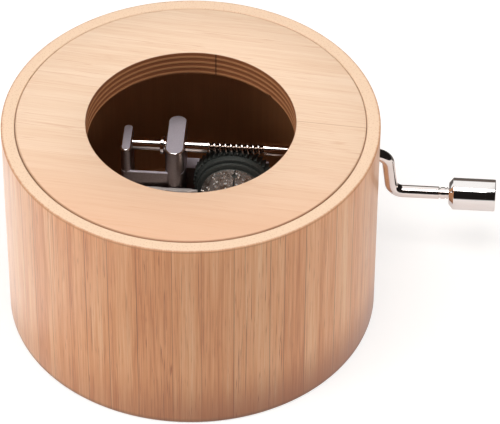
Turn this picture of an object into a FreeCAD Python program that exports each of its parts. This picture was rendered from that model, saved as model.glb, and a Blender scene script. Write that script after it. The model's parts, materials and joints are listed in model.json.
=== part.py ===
# Hand-cranked music box in a round bamboo case, with its movement seen through a window in the lid.
# Millimetres, +Z up. The origin is on the case's axis, in the plane that the case stands on.
# +X runs along the crank shaft, out through the wall to the handle. The drum turns about a line along Y.
import FreeCAD, Part
import math
import os

Vector = FreeCAD.Vector

# Case: a turned bamboo tube with a step at each end for the lid and the base
MOVEMENT_CLEARANCE = 3.1
CASE_WALL = 4.5
CASE_HEIGHT = 47.0
LEDGE_WIDTH = 1.8
RIM_ROUND = 0.6
FOOT_ROUND = 0.5
CRANK_HOLE_CLEARANCE = 1.2
LID_THICKNESS = 5.5
LID_GAP = 0.12
LID_EDGE = 0.25
WINDOW_RADIUS = 20.7
BASE_THICKNESS = 5.0
BASE_GAP = 0.08

# Where the movement stands in the case
DRUM_X = 7.25
SHAFT_Y = 17.25
WHEEL_FLOOR_GAP = 0.88

# Worm on the crank shaft and wheel on the drum
WORM_MODULE = 0.36
WHEEL_TEETH = 44
WORM_PITCH_RADIUS = 1.1
TOOTH_THICKNESS = 0.44
TOOTH_FLANK_DEG = 20.0
TOOTH_RISE = 0.30
TOOTH_FALL = 0.42
WORM_LENGTH = 11.7
WORM_SHIFT = 0.6
WORM_FLANK_STEPS = 4
WHEEL_FRONT = 1.1
WHEEL_BACK = 1.6
WHEEL_RIM_STEP = 0.25
WHEEL_RIM_WIDTH = 1.25
WHEEL_GROOVE_DROP = 0.7
WHEEL_GROOVE_WIDTH = 0.4
WHEEL_FLANGE_DROP = 0.2
WHEEL_FLANGE_WIDTH = 0.6
WHEEL_NECK_DROP = 0.2
WHEEL_NECK_WIDTH = 0.5
WHEEL_BOSS_RADIUS = 2.5

# Comb
COMB_TEETH = 18
COMB_LENGTH = 19.1
COMB_RISE = 1.8
COMB_BACK_DEPTH = 7.4
COMB_BACK_LAP = 0.6
COMB_BACK_THICKNESS = 1.6
COMB_SLOT = 0.26
TOOTH_SHEET = 0.75
TREBLE_TOOTH = 7.6
BASS_TOOTH = 10.4
TOOTH_TIP_WIDTH = 0.48
TOOTH_TIP_LENGTH = 1.3
TOOTH_TIP_TAPER = 0.35
PLUCK_GAP = 0.2
WEIGHTED_TEETH = 7
WEIGHT_LENGTH = 2.4
WEIGHT_DEPTH = 1.2
WEIGHT_SETBACK = 1.0
DAMPER_THICKNESS = 0.15
DAMPER_WIDTH = 0.4
DAMPER_SETBACK = 0.1

# Pinned drum on its arbor
DRUM_RADIUS = 6.4
DRUM_SHEET = 0.45
DRUM_BACK_INSET = 1.2
DRUM_FRONT_INSET = 0.15
DRUM_SEAM = 0.15
DRUM_SEAM_EYE = 0.6
DRUM_SEAM_TURN_DEG = 5.4
PLUG_DEPTH = 4.0
PLUG_LIP = 0.6
ARBOR_RADIUS = 1.0
PIN_HEIGHT = 0.5
PIN_FOOT = 0.44
PIN_TIP = 0.28
PINS_PER_TRACK = 8
PIN_SPREAD = 0.381966
SEAM_MARGIN_DEG = 9.0

# Cast bedplate
BED_FLOOR = 1.8
BED_CORNER = 2.5
BED_MARGIN = 0.8
PEDESTAL_ROUND = 0.8
SHAFT_POST_WIDTH = 3.9
SHAFT_POST_LENGTH = 12.1
SHAFT_POST_COMB_GAP = 0.1
POST_WHEEL_GAP = 1.7
POST_SPACING = 9.95
THRUST_POST_WIDTH = 2.1
THRUST_POST_LENGTH = 8.05
THRUST_POST_COMB_GAP = 0.62
THRUST_WALL = 0.6
POST_CAP = 0.6
POST_ROUND = 0.35
WEB_THICKNESS = 0.5
WEB_SETBACK = 0.6
WEB_DROP = 4.05
REAR_WALL_THICKNESS = 3.0
REAR_WALL_GAP = 0.45
REAR_WALL_REACH = 7.0
REAR_WALL_RISE = 1.1
BEARING_WALL = 1.6
FRONT_BEARING_THICKNESS = 2.6
FRONT_BEARING_WIDTH = 9.0
FRONT_BEARING_GAP = 0.35
CAP_GAP = 0.3
CAP_THICKNESS = 0.8

# Crank
SHAFT_RADIUS = 1.3
COLLAR_WALL = 0.7
COLLAR_WIDTH = 0.85
COLLAR_GAP = 0.35
COLLAR_EDGE = 0.2
CRANK_STANDOFF = 3.28
CRANK_BEND_RADIUS = 2.6
CRANK_BEND_DEG = 83.0
CRANK_THROW = 9.7
LEG_LENGTH = 7.5
LEG_EDGE = 0.15
NECK_LENGTH = 1.85
NECK_RING_DROP = 0.08
NECK_GROOVE_DROP = 0.25
SPIGOT_DROP = 0.3
SPIGOT_HEAD_LIP = 0.7
SPIGOT_HEAD_LENGTH = 0.65
SPIGOT_HEAD_CLEARANCE = 0.4
KNOB_RADIUS = 3.3
KNOB_LENGTH = 9.6
KNOB_NOSE_LENGTH = 0.9
KNOB_NOSE_STEP = 1.1
KNOB_END_EDGE = 0.2
KNOB_CAP_THICKNESS = 1.1
KNOB_CAP_RECESS = 0.1

# Screws
MOVEMENT_SCREW_RADIUS = 1.1
MOVEMENT_SCREW_HEAD = 2.1
MOVEMENT_SCREW_HEAD_HEIGHT = 1.4
MOVEMENT_SCREW_LENGTH = 7.5
MOVEMENT_SCREW_RECESS = 0.4
COMB_SCREW_RADIUS = 1.2
COMB_SCREW_HEAD = 2.2
COMB_SCREW_HEAD_HEIGHT = 1.3
COMB_SCREW_LENGTH = 6.0
CAP_SCREW_RADIUS = 0.7
CAP_SCREW_HEAD = 1.2
CAP_SCREW_HEAD_HEIGHT = 0.8
CAP_SCREW_LENGTH = 4.0
SCREW_SLOT = 0.5
SCREW_SLOT_SHARE = 0.45
SCREW_DOME_FOOT = 0.6
SCREW_DOME_TOP = 0.8
SCREW_BOSS_WALL = 1.5
SCREW_COVER = 0.8

# Fits
RUNNING_FIT = 0.06
CLOSE_FIT = 0.02
SCREW_FIT = 0.12
END_PLAY = 0.12

# Gear sizes
worm_pitch = math.pi * WORM_MODULE
wheel_pitch_radius = WHEEL_TEETH * WORM_MODULE / 2
wheel_tip_radius = wheel_pitch_radius + TOOTH_RISE
wheel_root_radius = wheel_pitch_radius - TOOTH_FALL
wheel_rim_radius = wheel_root_radius + WHEEL_RIM_STEP
wheel_groove_radius = wheel_root_radius - WHEEL_GROOVE_DROP
wheel_flange_radius = wheel_root_radius - WHEEL_FLANGE_DROP
wheel_neck_radius = DRUM_RADIUS - WHEEL_NECK_DROP
plug_radius = DRUM_RADIUS - DRUM_SHEET - CLOSE_FIT

# Heights
base_top = BASE_THICKNESS
floor_top = base_top + BED_FLOOR
axis_z = floor_top + WHEEL_FLOOR_GAP + wheel_tip_radius
shaft_z = axis_z + wheel_pitch_radius + WORM_PITCH_RADIUS
comb_top = axis_z + COMB_RISE
comb_seat = comb_top - COMB_BACK_THICKNESS
tooth_under = comb_top - TOOTH_SHEET
post_top = shaft_z + SHAFT_RADIUS + POST_CAP
leg_z = shaft_z - CRANK_THROW
cap_seat = axis_z + ARBOR_RADIUS + CAP_GAP
cap_top = cap_seat + CAP_THICKNESS
counterbore = MOVEMENT_SCREW_HEAD_HEIGHT + MOVEMENT_SCREW_RECESS
movement_screw_tip = counterbore + MOVEMENT_SCREW_LENGTH

# Stations along the drum, from the rear wall forwards
wheel_back_y = SHAFT_Y + WHEEL_BACK
wheel_front_y = SHAFT_Y - WHEEL_FRONT
rim_front_y = wheel_front_y - WHEEL_RIM_WIDTH
groove_front_y = rim_front_y - WHEEL_GROOVE_WIDTH
flange_front_y = groove_front_y - WHEEL_FLANGE_WIDTH
drum_back_y = flange_front_y - WHEEL_NECK_WIDTH
comb_rear_y = drum_back_y - DRUM_BACK_INSET
comb_front_y = comb_rear_y - COMB_LENGTH
comb_middle_y = (comb_rear_y + comb_front_y) / 2
drum_front_y = comb_front_y - DRUM_FRONT_INSET
lip_front_y = drum_front_y - PLUG_LIP
rear_wall_y = wheel_back_y + REAR_WALL_GAP
rear_wall_back_y = rear_wall_y + REAR_WALL_THICKNESS
bearing_back_y = lip_front_y - FRONT_BEARING_GAP
bearing_front_y = bearing_back_y - FRONT_BEARING_THICKNESS
bearing_middle_y = (bearing_front_y + bearing_back_y) / 2

# Stations across the comb, from the drum to the back
tooth_pitch = COMB_LENGTH / COMB_TEETH
tooth_half = (tooth_pitch - COMB_SLOT) / 2
pluck_radius = DRUM_RADIUS + PIN_HEIGHT + PLUCK_GAP
comb_tip_x = DRUM_X - math.sqrt(pluck_radius**2 - (COMB_RISE - TOOTH_SHEET) ** 2)
comb_base_x = comb_tip_x - BASS_TOOTH - COMB_BACK_LAP
comb_back_x = comb_base_x - COMB_BACK_DEPTH
comb_screw_x = (comb_base_x + comb_back_x) / 2

# Posts that carry the shaft
shaft_post_x = DRUM_X - wheel_tip_radius - POST_WHEEL_GAP - SHAFT_POST_WIDTH / 2
shaft_post_y = comb_rear_y + SHAFT_POST_COMB_GAP + SHAFT_POST_LENGTH / 2
thrust_post_x = shaft_post_x - POST_SPACING
thrust_post_y = comb_rear_y + THRUST_POST_COMB_GAP + THRUST_POST_LENGTH / 2
thrust_hole_x = thrust_post_x - THRUST_POST_WIDTH / 2 + THRUST_WALL
web_y = comb_rear_y + SHAFT_POST_COMB_GAP + WEB_SETBACK

# Bedplate outline
screw_boss_radius = MOVEMENT_SCREW_RADIUS + SCREW_BOSS_WALL
bed_left_x = comb_back_x - BED_MARGIN
bed_right_x = DRUM_X + wheel_tip_radius + BED_MARGIN
bed_front_y = min(bearing_front_y, bearing_back_y - 2 * screw_boss_radius) - BED_MARGIN
bed_back_y = max(shaft_post_y + SHAFT_POST_LENGTH / 2, rear_wall_back_y)

# Case radii: the bore clears the corner of the bedplate that reaches furthest
corner_reaches = [
    math.hypot(abs(x) - BED_CORNER, abs(y) - BED_CORNER) + BED_CORNER
    for x in (bed_left_x, bed_right_x)
    for y in (bed_front_y, bed_back_y)
]
bore_radius = max(corner_reaches) + MOVEMENT_CLEARANCE
step_radius = bore_radius + LEDGE_WIDTH
case_radius = bore_radius + CASE_WALL

# Stations along the shaft
worm_start_x = DRUM_X + WORM_SHIFT - WORM_LENGTH / 2
worm_end_x = worm_start_x + WORM_LENGTH
bend_x = math.sqrt(case_radius**2 - SHAFT_Y**2) + CRANK_STANDOFF
bend_rad = math.radians(CRANK_BEND_DEG)
bend_sine = CRANK_BEND_RADIUS * math.sin(bend_rad)
bend_drop = CRANK_BEND_RADIUS * (1 - math.cos(bend_rad))
arm_length = (CRANK_THROW - 2 * bend_drop) / math.sin(bend_rad)
leg_x = bend_x + 2 * bend_sine + arm_length * math.cos(bend_rad)
leg_end_x = leg_x + LEG_LENGTH
neck_end_x = leg_end_x + NECK_LENGTH
knob_x = neck_end_x + END_PLAY
knob_end_x = knob_x + KNOB_LENGTH
knob_cap_end_x = knob_end_x - KNOB_CAP_RECESS
knob_cap_x = knob_cap_end_x - KNOB_CAP_THICKNESS
head_end_x = knob_cap_x - END_PLAY
head_start_x = head_end_x - SPIGOT_HEAD_LENGTH
head_seat_x = head_start_x - END_PLAY

# Crank radii
spigot_radius = SHAFT_RADIUS - SPIGOT_DROP
spigot_head_radius = spigot_radius + SPIGOT_HEAD_LIP
knob_cap_radius = spigot_head_radius + SPIGOT_HEAD_CLEARANCE

# Screw places
boss_spot = (bed_right_x - BED_MARGIN - screw_boss_radius, bearing_back_y - screw_boss_radius)
movement_screw_spots = [(comb_screw_x, comb_middle_y), (shaft_post_x, shaft_post_y), boss_spot]
comb_screw_spots = [(comb_screw_x, comb_middle_y + side * COMB_LENGTH / 4) for side in (-1, 1)]
cap_screw_spots = [(DRUM_X + side * FRONT_BEARING_WIDTH / 3, bearing_middle_y) for side in (-1, 1)]


# Shapes that several pieces use
def rod(radius, start, end):
    """A round bar from one point to another."""
    start, end = Vector(*start), Vector(*end)
    return Part.makeCylinder(radius, (end - start).Length, start, end - start)


def block(x0, x1, y0, y1, z0, z1):
    """A box between two corners."""
    return Part.makeBox(x1 - x0, y1 - y0, z1 - z0, Vector(x0, y0, z0))


def turned(profile, centre, along, across):
    """A solid of revolution. The profile's corners are (distance along the axis, radius)."""
    centre, along, across = Vector(*centre), Vector(*along), Vector(*across)
    corners = [centre + along * distance + across * radius for distance, radius in profile]
    section = Part.Face(Part.makePolygon(corners + corners[:1]))
    return section.revolve(centre, along, 360)


def turned_x(profile, y, z):
    """A solid of revolution about a line along X."""
    return turned(profile, (0, y, z), (1, 0, 0), (0, 0, 1))


def turned_on_drum(profile):
    """A solid of revolution about the drum's axis."""
    return turned(profile, (DRUM_X, 0, axis_z), (0, 1, 0), (1, 0, 0))


def upright_edges(shape):
    """The straight vertical edges of a block."""
    return [edge for edge in shape.Edges if edge.BoundBox.XLength + edge.BoundBox.YLength < 1e-3]


def obround_post(x, y, width, length):
    """A column of obround section, long along Y, from the bedplate's floor to the eased top of the posts."""
    radius = width / 2
    reach = length / 2 - radius
    ends = [rod(radius, (x, y + way * reach, floor_top), (x, y + way * reach, post_top)) for way in (-1, 1)]
    middle = block(x - radius, x + radius, y - reach, y + reach, floor_top, post_top)
    column = middle.fuse(ends).removeSplitter()
    top_edges = [edge for edge in column.Edges if edge.BoundBox.ZMin > post_top - POST_ROUND]
    return column.makeFillet(POST_ROUND, top_edges)


def slotted_screw(radius, head_radius, head_height, length, seat, way):
    """A pan-head screw. The seat is the middle of its head's underside, and way is 1 up or -1 down."""
    x, y, z = seat
    top = -way * head_height
    shoulder = (top * SCREW_DOME_FOOT, head_radius)
    crown = (top, head_radius * SCREW_DOME_TOP)
    head = turned([(0, 0), (0, head_radius), shoulder, crown, (top, 0)], seat, (0, 0, 1), (1, 0, 0))
    slot_ends = sorted((z + top, z + top * (1 - SCREW_SLOT_SHARE)))
    slot = block(x - head_radius, x + head_radius, y - SCREW_SLOT / 2, y + SCREW_SLOT / 2, *slot_ends)
    shank = rod(radius, seat, (x, y, z + way * length))
    return head.cut(slot).fuse(shank).removeSplitter()


# Case
def case_tube():
    """The turned wall: rounded rim and foot, and a step at each end that the lid and the base fit into."""
    slope = math.sqrt(0.5)
    lid_seat = CASE_HEIGHT - LID_THICKNESS
    foot, rim = case_radius - FOOT_ROUND, case_radius - RIM_ROUND
    rim_z = CASE_HEIGHT - RIM_ROUND

    def at(radius, z):
        return Vector(radius, 0, z)

    foot_middle = at(foot + FOOT_ROUND * slope, FOOT_ROUND - FOOT_ROUND * slope)
    rim_middle = at(rim + RIM_ROUND * slope, rim_z + RIM_ROUND * slope)
    inside = [
        at(rim, CASE_HEIGHT),
        at(step_radius, CASE_HEIGHT),
        at(step_radius, lid_seat),
        at(bore_radius, lid_seat),
        at(bore_radius, BASE_THICKNESS),
        at(step_radius, BASE_THICKNESS),
        at(step_radius, 0),
        at(foot, 0),
    ]
    edges = [
        Part.Arc(at(foot, 0), foot_middle, at(case_radius, FOOT_ROUND)).toShape(),
        Part.LineSegment(at(case_radius, FOOT_ROUND), at(case_radius, rim_z)).toShape(),
        Part.Arc(at(case_radius, rim_z), rim_middle, at(rim, CASE_HEIGHT)).toShape(),
    ]
    edges += [Part.LineSegment(a, b).toShape() for a, b in zip(inside, inside[1:])]
    wall = Part.Face(Part.Wire(edges)).revolve(Vector(), Vector(0, 0, 1), 360)
    hole_radius = SHAFT_RADIUS + CRANK_HOLE_CLEARANCE
    return wall.cut(rod(hole_radius, (0, SHAFT_Y, shaft_z), (case_radius, SHAFT_Y, shaft_z)))


def lid_ring():
    """The plywood lid, let into the top step, with the round window over the movement."""
    outer = step_radius - LID_GAP
    low, top = CASE_HEIGHT - LID_THICKNESS, CASE_HEIGHT
    profile = [
        (low, WINDOW_RADIUS),
        (low, outer),
        (top - LID_EDGE, outer),
        (top, outer - LID_EDGE),
        (top, WINDOW_RADIUS + LID_EDGE),
        (top - LID_EDGE, WINDOW_RADIUS),
    ]
    return turned(profile, (0, 0, 0), (0, 0, 1), (1, 0, 0))


def base_disc():
    """The plywood base, flush with the foot, with a counterbored hole for each screw of the movement."""
    disc = rod(step_radius - BASE_GAP, (0, 0, 0), (0, 0, BASE_THICKNESS))
    holes = []
    for x, y in movement_screw_spots:
        holes.append(rod(MOVEMENT_SCREW_RADIUS + SCREW_FIT, (x, y, 0), (x, y, BASE_THICKNESS)))
        holes.append(rod(MOVEMENT_SCREW_HEAD + SCREW_FIT, (x, y, 0), (x, y, counterbore)))
    return disc.cut(holes)


def movement_screws():
    """Three screws, up through the base into the bedplate."""
    size = (MOVEMENT_SCREW_RADIUS, MOVEMENT_SCREW_HEAD, MOVEMENT_SCREW_HEAD_HEIGHT, MOVEMENT_SCREW_LENGTH)
    return [slotted_screw(*size, (x, y, counterbore), 1) for x, y in movement_screw_spots]


# Movement, fixed
def bedplate_posts():
    """The two posts that carry the crank shaft, and the thin web that ties them together at the front."""
    return [
        obround_post(thrust_post_x, thrust_post_y, THRUST_POST_WIDTH, THRUST_POST_LENGTH),
        obround_post(shaft_post_x, shaft_post_y, SHAFT_POST_WIDTH, SHAFT_POST_LENGTH),
        block(thrust_post_x, shaft_post_x, web_y, web_y + WEB_THICKNESS, floor_top, shaft_z - WEB_DROP),
    ]


def bedplate_bearings():
    """The rear wall with a boss round the arbor, and the front bearing that a cap closes."""
    wall_end_x, wall_top = DRUM_X + REAR_WALL_REACH, axis_z + REAR_WALL_RISE
    half = FRONT_BEARING_WIDTH / 2
    boss_radius = ARBOR_RADIUS + BEARING_WALL
    return [
        block(shaft_post_x, wall_end_x, rear_wall_y, rear_wall_back_y, floor_top, wall_top),
        rod(boss_radius, (DRUM_X, rear_wall_y, axis_z), (DRUM_X, rear_wall_back_y, axis_z)),
        block(DRUM_X - half, DRUM_X + half, bearing_front_y, bearing_back_y, floor_top, cap_seat),
    ]


def bedplate_bores():
    """What is cut from the casting: shaft and arbor bores, the front bearing's slot and the screw holes."""
    shaft_bore, slot = SHAFT_RADIUS + RUNNING_FIT, ARBOR_RADIUS + RUNNING_FIT
    shaft_bore_end_x = shaft_post_x + SHAFT_POST_WIDTH
    cuts = [
        rod(shaft_bore, (thrust_hole_x, SHAFT_Y, shaft_z), (shaft_bore_end_x, SHAFT_Y, shaft_z)),
        rod(slot, (DRUM_X, bearing_front_y, axis_z), (DRUM_X, rear_wall_back_y, axis_z)),
        block(DRUM_X - slot, DRUM_X + slot, bearing_front_y, bearing_back_y, axis_z, cap_seat),
    ]
    threads = [
        (MOVEMENT_SCREW_RADIUS, movement_screw_spots, base_top, movement_screw_tip + END_PLAY),
        (COMB_SCREW_RADIUS, comb_screw_spots, comb_seat, comb_top - COMB_SCREW_LENGTH - END_PLAY),
        (CAP_SCREW_RADIUS, cap_screw_spots, cap_seat, cap_top - CAP_SCREW_LENGTH - END_PLAY),
    ]
    for radius, spots, mouth, bottom in threads:
        cuts += [rod(radius + CLOSE_FIT, (x, y, mouth), (x, y, bottom)) for x, y in spots]
    return cuts


def bedplate():
    """The casting: floor, comb pedestal, shaft posts, drum bearings and a boss for the third screw."""
    floor = block(bed_left_x, bed_right_x, bed_front_y, bed_back_y, base_top, floor_top)
    floor = floor.makeFillet(BED_CORNER, upright_edges(floor))
    pedestal = block(bed_left_x, comb_base_x, comb_front_y - BED_MARGIN, web_y, floor_top, comb_seat)
    pedestal = pedestal.makeFillet(PEDESTAL_ROUND, upright_edges(pedestal))
    boss_top = movement_screw_tip + SCREW_COVER
    screw_boss = rod(screw_boss_radius, (*boss_spot, floor_top), (*boss_spot, boss_top))
    solids = [pedestal, screw_boss] + bedplate_posts() + bedplate_bearings()
    return floor.fuse(solids).removeSplitter().cut(bedplate_bores())


def tooth_root_x(tooth):
    """Where a tooth leaves the comb's back: the teeth lengthen evenly from treble to bass."""
    share = tooth / (COMB_TEETH - 1)
    return comb_tip_x - TREBLE_TOOTH - (BASS_TOOTH - TREBLE_TOOTH) * share


def tooth_centre_y(tooth):
    """Teeth are counted from the wheel's end of the drum."""
    return comb_rear_y - (tooth + 0.5) * tooth_pitch


def comb():
    """The steel comb: a thick back screwed to the pedestal, and thin teeth with narrow tips."""
    half_tip = TOOTH_TIP_WIDTH / 2
    shoulder = comb_tip_x - TOOTH_TIP_LENGTH
    outline = [(comb_back_x, comb_front_y), (comb_back_x, comb_rear_y), (tooth_root_x(0), comb_rear_y)]
    for tooth in range(COMB_TEETH):
        y = tooth_centre_y(tooth)
        side = [
            (tooth_root_x(tooth), tooth_half),
            (shoulder, tooth_half),
            (shoulder + TOOTH_TIP_TAPER, half_tip),
            (comb_tip_x, half_tip),
        ]
        outline += [(x, y + offset) for x, offset in side]
        outline += [(x, y - offset) for x, offset in reversed(side)]
    outline.append((tooth_root_x(COMB_TEETH - 1), comb_front_y))
    corners = [Vector(x, y, tooth_under) for x, y in outline]
    sheet = Part.Face(Part.makePolygon(corners + corners[:1])).extrude(Vector(0, 0, TOOTH_SHEET))
    back = block(comb_back_x, comb_base_x, comb_front_y, comb_rear_y, comb_seat, comb_top)
    hole = COMB_SCREW_RADIUS + SCREW_FIT
    holes = [rod(hole, (x, y, comb_seat), (x, y, comb_top)) for x, y in comb_screw_spots]
    return back.fuse(sheet).removeSplitter().cut(holes)


def weighted_teeth():
    """Each weighted tooth's middle and the underside of its weight, which is deeper towards the bass."""
    first = COMB_TEETH - WEIGHTED_TEETH
    for tooth in range(first, COMB_TEETH):
        share = (tooth - first + 1) / WEIGHTED_TEETH
        yield tooth_centre_y(tooth), tooth_under - WEIGHT_DEPTH * (1 + share) / 2


def comb_weights():
    """Lead tuning weights under the longest teeth, close behind their tips."""
    end = comb_tip_x - WEIGHT_SETBACK
    start, half = end - WEIGHT_LENGTH, tooth_half
    return [block(start, end, y - half, y + half, low, tooth_under) for y, low in weighted_teeth()]


def comb_dampers():
    """Thin strips under the weights that quiet a tooth just before its pin arrives."""
    start = comb_tip_x - WEIGHT_SETBACK - WEIGHT_LENGTH
    end, half, thick = comb_tip_x - DAMPER_SETBACK, DAMPER_WIDTH / 2, DAMPER_THICKNESS
    return [block(start, end, y - half, y + half, low - thick, low) for y, low in weighted_teeth()]


def comb_screws():
    """Two screws that hold the comb down on its pedestal."""
    size = (COMB_SCREW_RADIUS, COMB_SCREW_HEAD, COMB_SCREW_HEAD_HEIGHT, COMB_SCREW_LENGTH)
    return [slotted_screw(*size, (x, y, comb_top), -1) for x, y in comb_screw_spots]


def bearing_cap():
    """The steel strap that closes the drum's front bearing."""
    half = FRONT_BEARING_WIDTH / 2
    strap = block(DRUM_X - half, DRUM_X + half, bearing_front_y, bearing_back_y, cap_seat, cap_top)
    hole = CAP_SCREW_RADIUS + SCREW_FIT
    return strap.cut([rod(hole, (x, y, cap_seat), (x, y, cap_top)) for x, y in cap_screw_spots])


def bearing_cap_screws():
    """Two small screws through the cap."""
    size = (CAP_SCREW_RADIUS, CAP_SCREW_HEAD, CAP_SCREW_HEAD_HEIGHT, CAP_SCREW_LENGTH)
    return [slotted_screw(*size, (x, y, cap_top), -1) for x, y in cap_screw_spots]


# Drum
def drum_pin():
    """One punched pin: a square foot in the sheet, tapering to its tip, straight up from the drum's axis."""
    stations = [(PIN_FOOT / 2, DRUM_RADIUS - DRUM_SHEET / 2), (PIN_TIP / 2, DRUM_RADIUS + PIN_HEIGHT)]
    corners = [(-1, -1), (1, -1), (1, 1), (-1, 1), (-1, -1)]
    squares = [Part.makePolygon([Vector(half * a, half * b, z) for a, b in corners]) for half, z in stations]
    return Part.makeLoft(squares, True, True)


def drum_track(tooth, pin):
    """The band of the drum that one tooth plays. Golden steps spread its pins over the arc off the seam."""
    middle = tooth_centre_y(tooth)
    front = drum_front_y if tooth == COMB_TEETH - 1 else middle - tooth_pitch / 2
    back = drum_back_y if tooth == 0 else middle + tooth_pitch / 2
    inner = DRUM_RADIUS - DRUM_SHEET
    band = turned_on_drum([(front, inner), (front, DRUM_RADIUS), (back, DRUM_RADIUS), (back, inner)])
    pinned_arc = 360 - 2 * SEAM_MARGIN_DEG
    pins = []
    for beat in range(PINS_PER_TRACK):
        share = PIN_SPREAD * (tooth * PINS_PER_TRACK + beat) % 1
        placed = pin.copy()
        placed.rotate(Vector(), Vector(0, 1, 0), SEAM_MARGIN_DEG + share * pinned_arc)
        placed.translate(Vector(DRUM_X, middle, axis_z))
        pins.append(placed)
    return band.fuse(pins)


def drum_sleeve():
    """The sheet rolled into a drum: a pinned track for each tooth, and an open seam with an eye in it."""
    pin = drum_pin()
    tracks = [drum_track(tooth, pin) for tooth in range(COMB_TEETH)]
    sleeve = tracks[0].fuse(tracks[1:]).removeSplitter()
    low, high = axis_z + DRUM_RADIUS - 2 * DRUM_SHEET, axis_z + DRUM_RADIUS + DRUM_SHEET
    half = DRUM_SEAM / 2
    eye_y = tooth_centre_y(0)
    seam = block(DRUM_X - half, DRUM_X + half, drum_front_y, drum_back_y, low, high)
    eye = rod(DRUM_SEAM_EYE, (DRUM_X, eye_y, low), (DRUM_X, eye_y, high))
    sleeve = sleeve.cut([seam, eye])
    sleeve.rotate(Vector(DRUM_X, 0, axis_z), Vector(0, 1, 0), DRUM_SEAM_TURN_DEG)
    return sleeve


def toothed_outline(y):
    """The wheel's toothed section at one station, turned with the worm's lead, a gap under the worm."""
    lead_slope = worm_pitch / (math.tau * WORM_PITCH_RADIUS)
    twist = lead_slope * (y - SHAFT_Y) / wheel_pitch_radius
    flank = math.tan(math.radians(TOOTH_FLANK_DEG))
    half_tip = (TOOTH_THICKNESS / 2 - TOOTH_RISE * flank) / wheel_tip_radius
    half_root = (TOOTH_THICKNESS / 2 + TOOTH_FALL * flank) / wheel_root_radius
    tooth_corners = [
        (wheel_root_radius, -half_root),
        (wheel_tip_radius, -half_tip),
        (wheel_tip_radius, half_tip),
        (wheel_root_radius, half_root),
    ]
    corners = []
    for tooth in range(WHEEL_TEETH):
        middle = math.tau * (tooth + 0.5) / WHEEL_TEETH + twist
        for radius, offset in tooth_corners:
            across, up = radius * math.sin(middle + offset), radius * math.cos(middle + offset)
            corners.append(Vector(DRUM_X + across, y, axis_z + up))
    return Part.makePolygon(corners + corners[:1])


def worm_wheel():
    """The moulded wheel: helical teeth that match the worm's lead, a smooth rim, a flange and a plug."""
    teeth = Part.makeLoft([toothed_outline(wheel_front_y), toothed_outline(wheel_back_y)], True, True)
    boss_end = rear_wall_y - END_PLAY
    profile = [
        (drum_back_y - PLUG_DEPTH, 0),
        (drum_back_y - PLUG_DEPTH, plug_radius),
        (drum_back_y, plug_radius),
        (drum_back_y, wheel_neck_radius),
        (flange_front_y, wheel_neck_radius),
        (flange_front_y, wheel_flange_radius),
        (groove_front_y, wheel_flange_radius),
        (groove_front_y, wheel_groove_radius),
        (rim_front_y, wheel_groove_radius),
        (rim_front_y, wheel_rim_radius),
        (wheel_front_y, wheel_rim_radius),
        (wheel_front_y, WHEEL_BOSS_RADIUS),
        (boss_end, WHEEL_BOSS_RADIUS),
        (boss_end, 0),
    ]
    bore = rod(ARBOR_RADIUS + CLOSE_FIT, (DRUM_X, drum_front_y, axis_z), (DRUM_X, rear_wall_y, axis_z))
    return teeth.fuse(turned_on_drum(profile)).removeSplitter().cut(bore)


def drum_end_plug():
    """The moulded plug in the drum's front end, with a lip that covers the sheet's edge."""
    bore = ARBOR_RADIUS + CLOSE_FIT
    profile = [
        (lip_front_y, bore),
        (lip_front_y, DRUM_RADIUS),
        (drum_front_y, DRUM_RADIUS),
        (drum_front_y, plug_radius),
        (drum_front_y + PLUG_DEPTH, plug_radius),
        (drum_front_y + PLUG_DEPTH, bore),
    ]
    return turned_on_drum(profile)


def drum_arbor():
    """The steel arbor, from the front bearing through the drum to the rear wall."""
    front, back = bearing_front_y + END_PLAY, rear_wall_back_y - END_PLAY
    return rod(ARBOR_RADIUS, (DRUM_X, front, axis_z), (DRUM_X, back, axis_z))


# Crank
def worm_section():
    """The worm's section square to the shaft: crest and root arcs and spiral flanks, crest at the bottom."""
    flank = math.tan(math.radians(TOOTH_FLANK_DEG))
    crest_radius, root_radius = WORM_PITCH_RADIUS + TOOTH_RISE, WORM_PITCH_RADIUS - TOOTH_FALL
    turn_per_mm = math.tau / worm_pitch
    crest_half = (TOOTH_THICKNESS / 2 - TOOTH_RISE * flank) * turn_per_mm
    root_half = (TOOTH_THICKNESS / 2 + TOOTH_FALL * flank) * turn_per_mm

    def at(radius, angle):
        return Vector(worm_start_x, SHAFT_Y + radius * math.sin(angle), shaft_z - radius * math.cos(angle))

    def spiral(side):
        points = []
        for step in range(WORM_FLANK_STEPS + 1):
            share = step / WORM_FLANK_STEPS
            radius = crest_radius + (root_radius - crest_radius) * share
            points.append(at(radius, side * (crest_half + (root_half - crest_half) * share)))
        curve = Part.BSplineCurve()
        curve.interpolate(points)
        return curve.toShape()

    crest = Part.Arc(at(crest_radius, -crest_half), at(crest_radius, 0), at(crest_radius, crest_half))
    root = Part.Arc(at(root_radius, root_half), at(root_radius, math.pi), at(root_radius, -root_half))
    return Part.Wire(Part.__sortEdges__([crest.toShape(), spiral(1), root.toShape(), spiral(-1)]))


def worm():
    """The single-start right-handed worm: its section carried along the shaft, one turn for each pitch."""
    start, end = Vector(worm_start_x, SHAFT_Y, shaft_z), Vector(worm_end_x, SHAFT_Y, shaft_z)
    section = worm_section()
    section.rotate(start, Vector(1, 0, 0), -360 * (DRUM_X - worm_start_x) / worm_pitch)
    guide = Part.makeHelix(worm_pitch, WORM_LENGTH, WORM_PITCH_RADIUS)
    guide.rotate(Vector(), Vector(0, 1, 0), 90)
    guide.translate(start)
    sweep = Part.BRepOffsetAPI.MakePipeShell(Part.Wire(Part.LineSegment(start, end).toShape()))
    sweep.setAuxiliarySpine(guide, True, 0)
    sweep.add(section, False, False)
    sweep.build()
    sweep.makeSolid()
    return sweep.shape()


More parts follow.
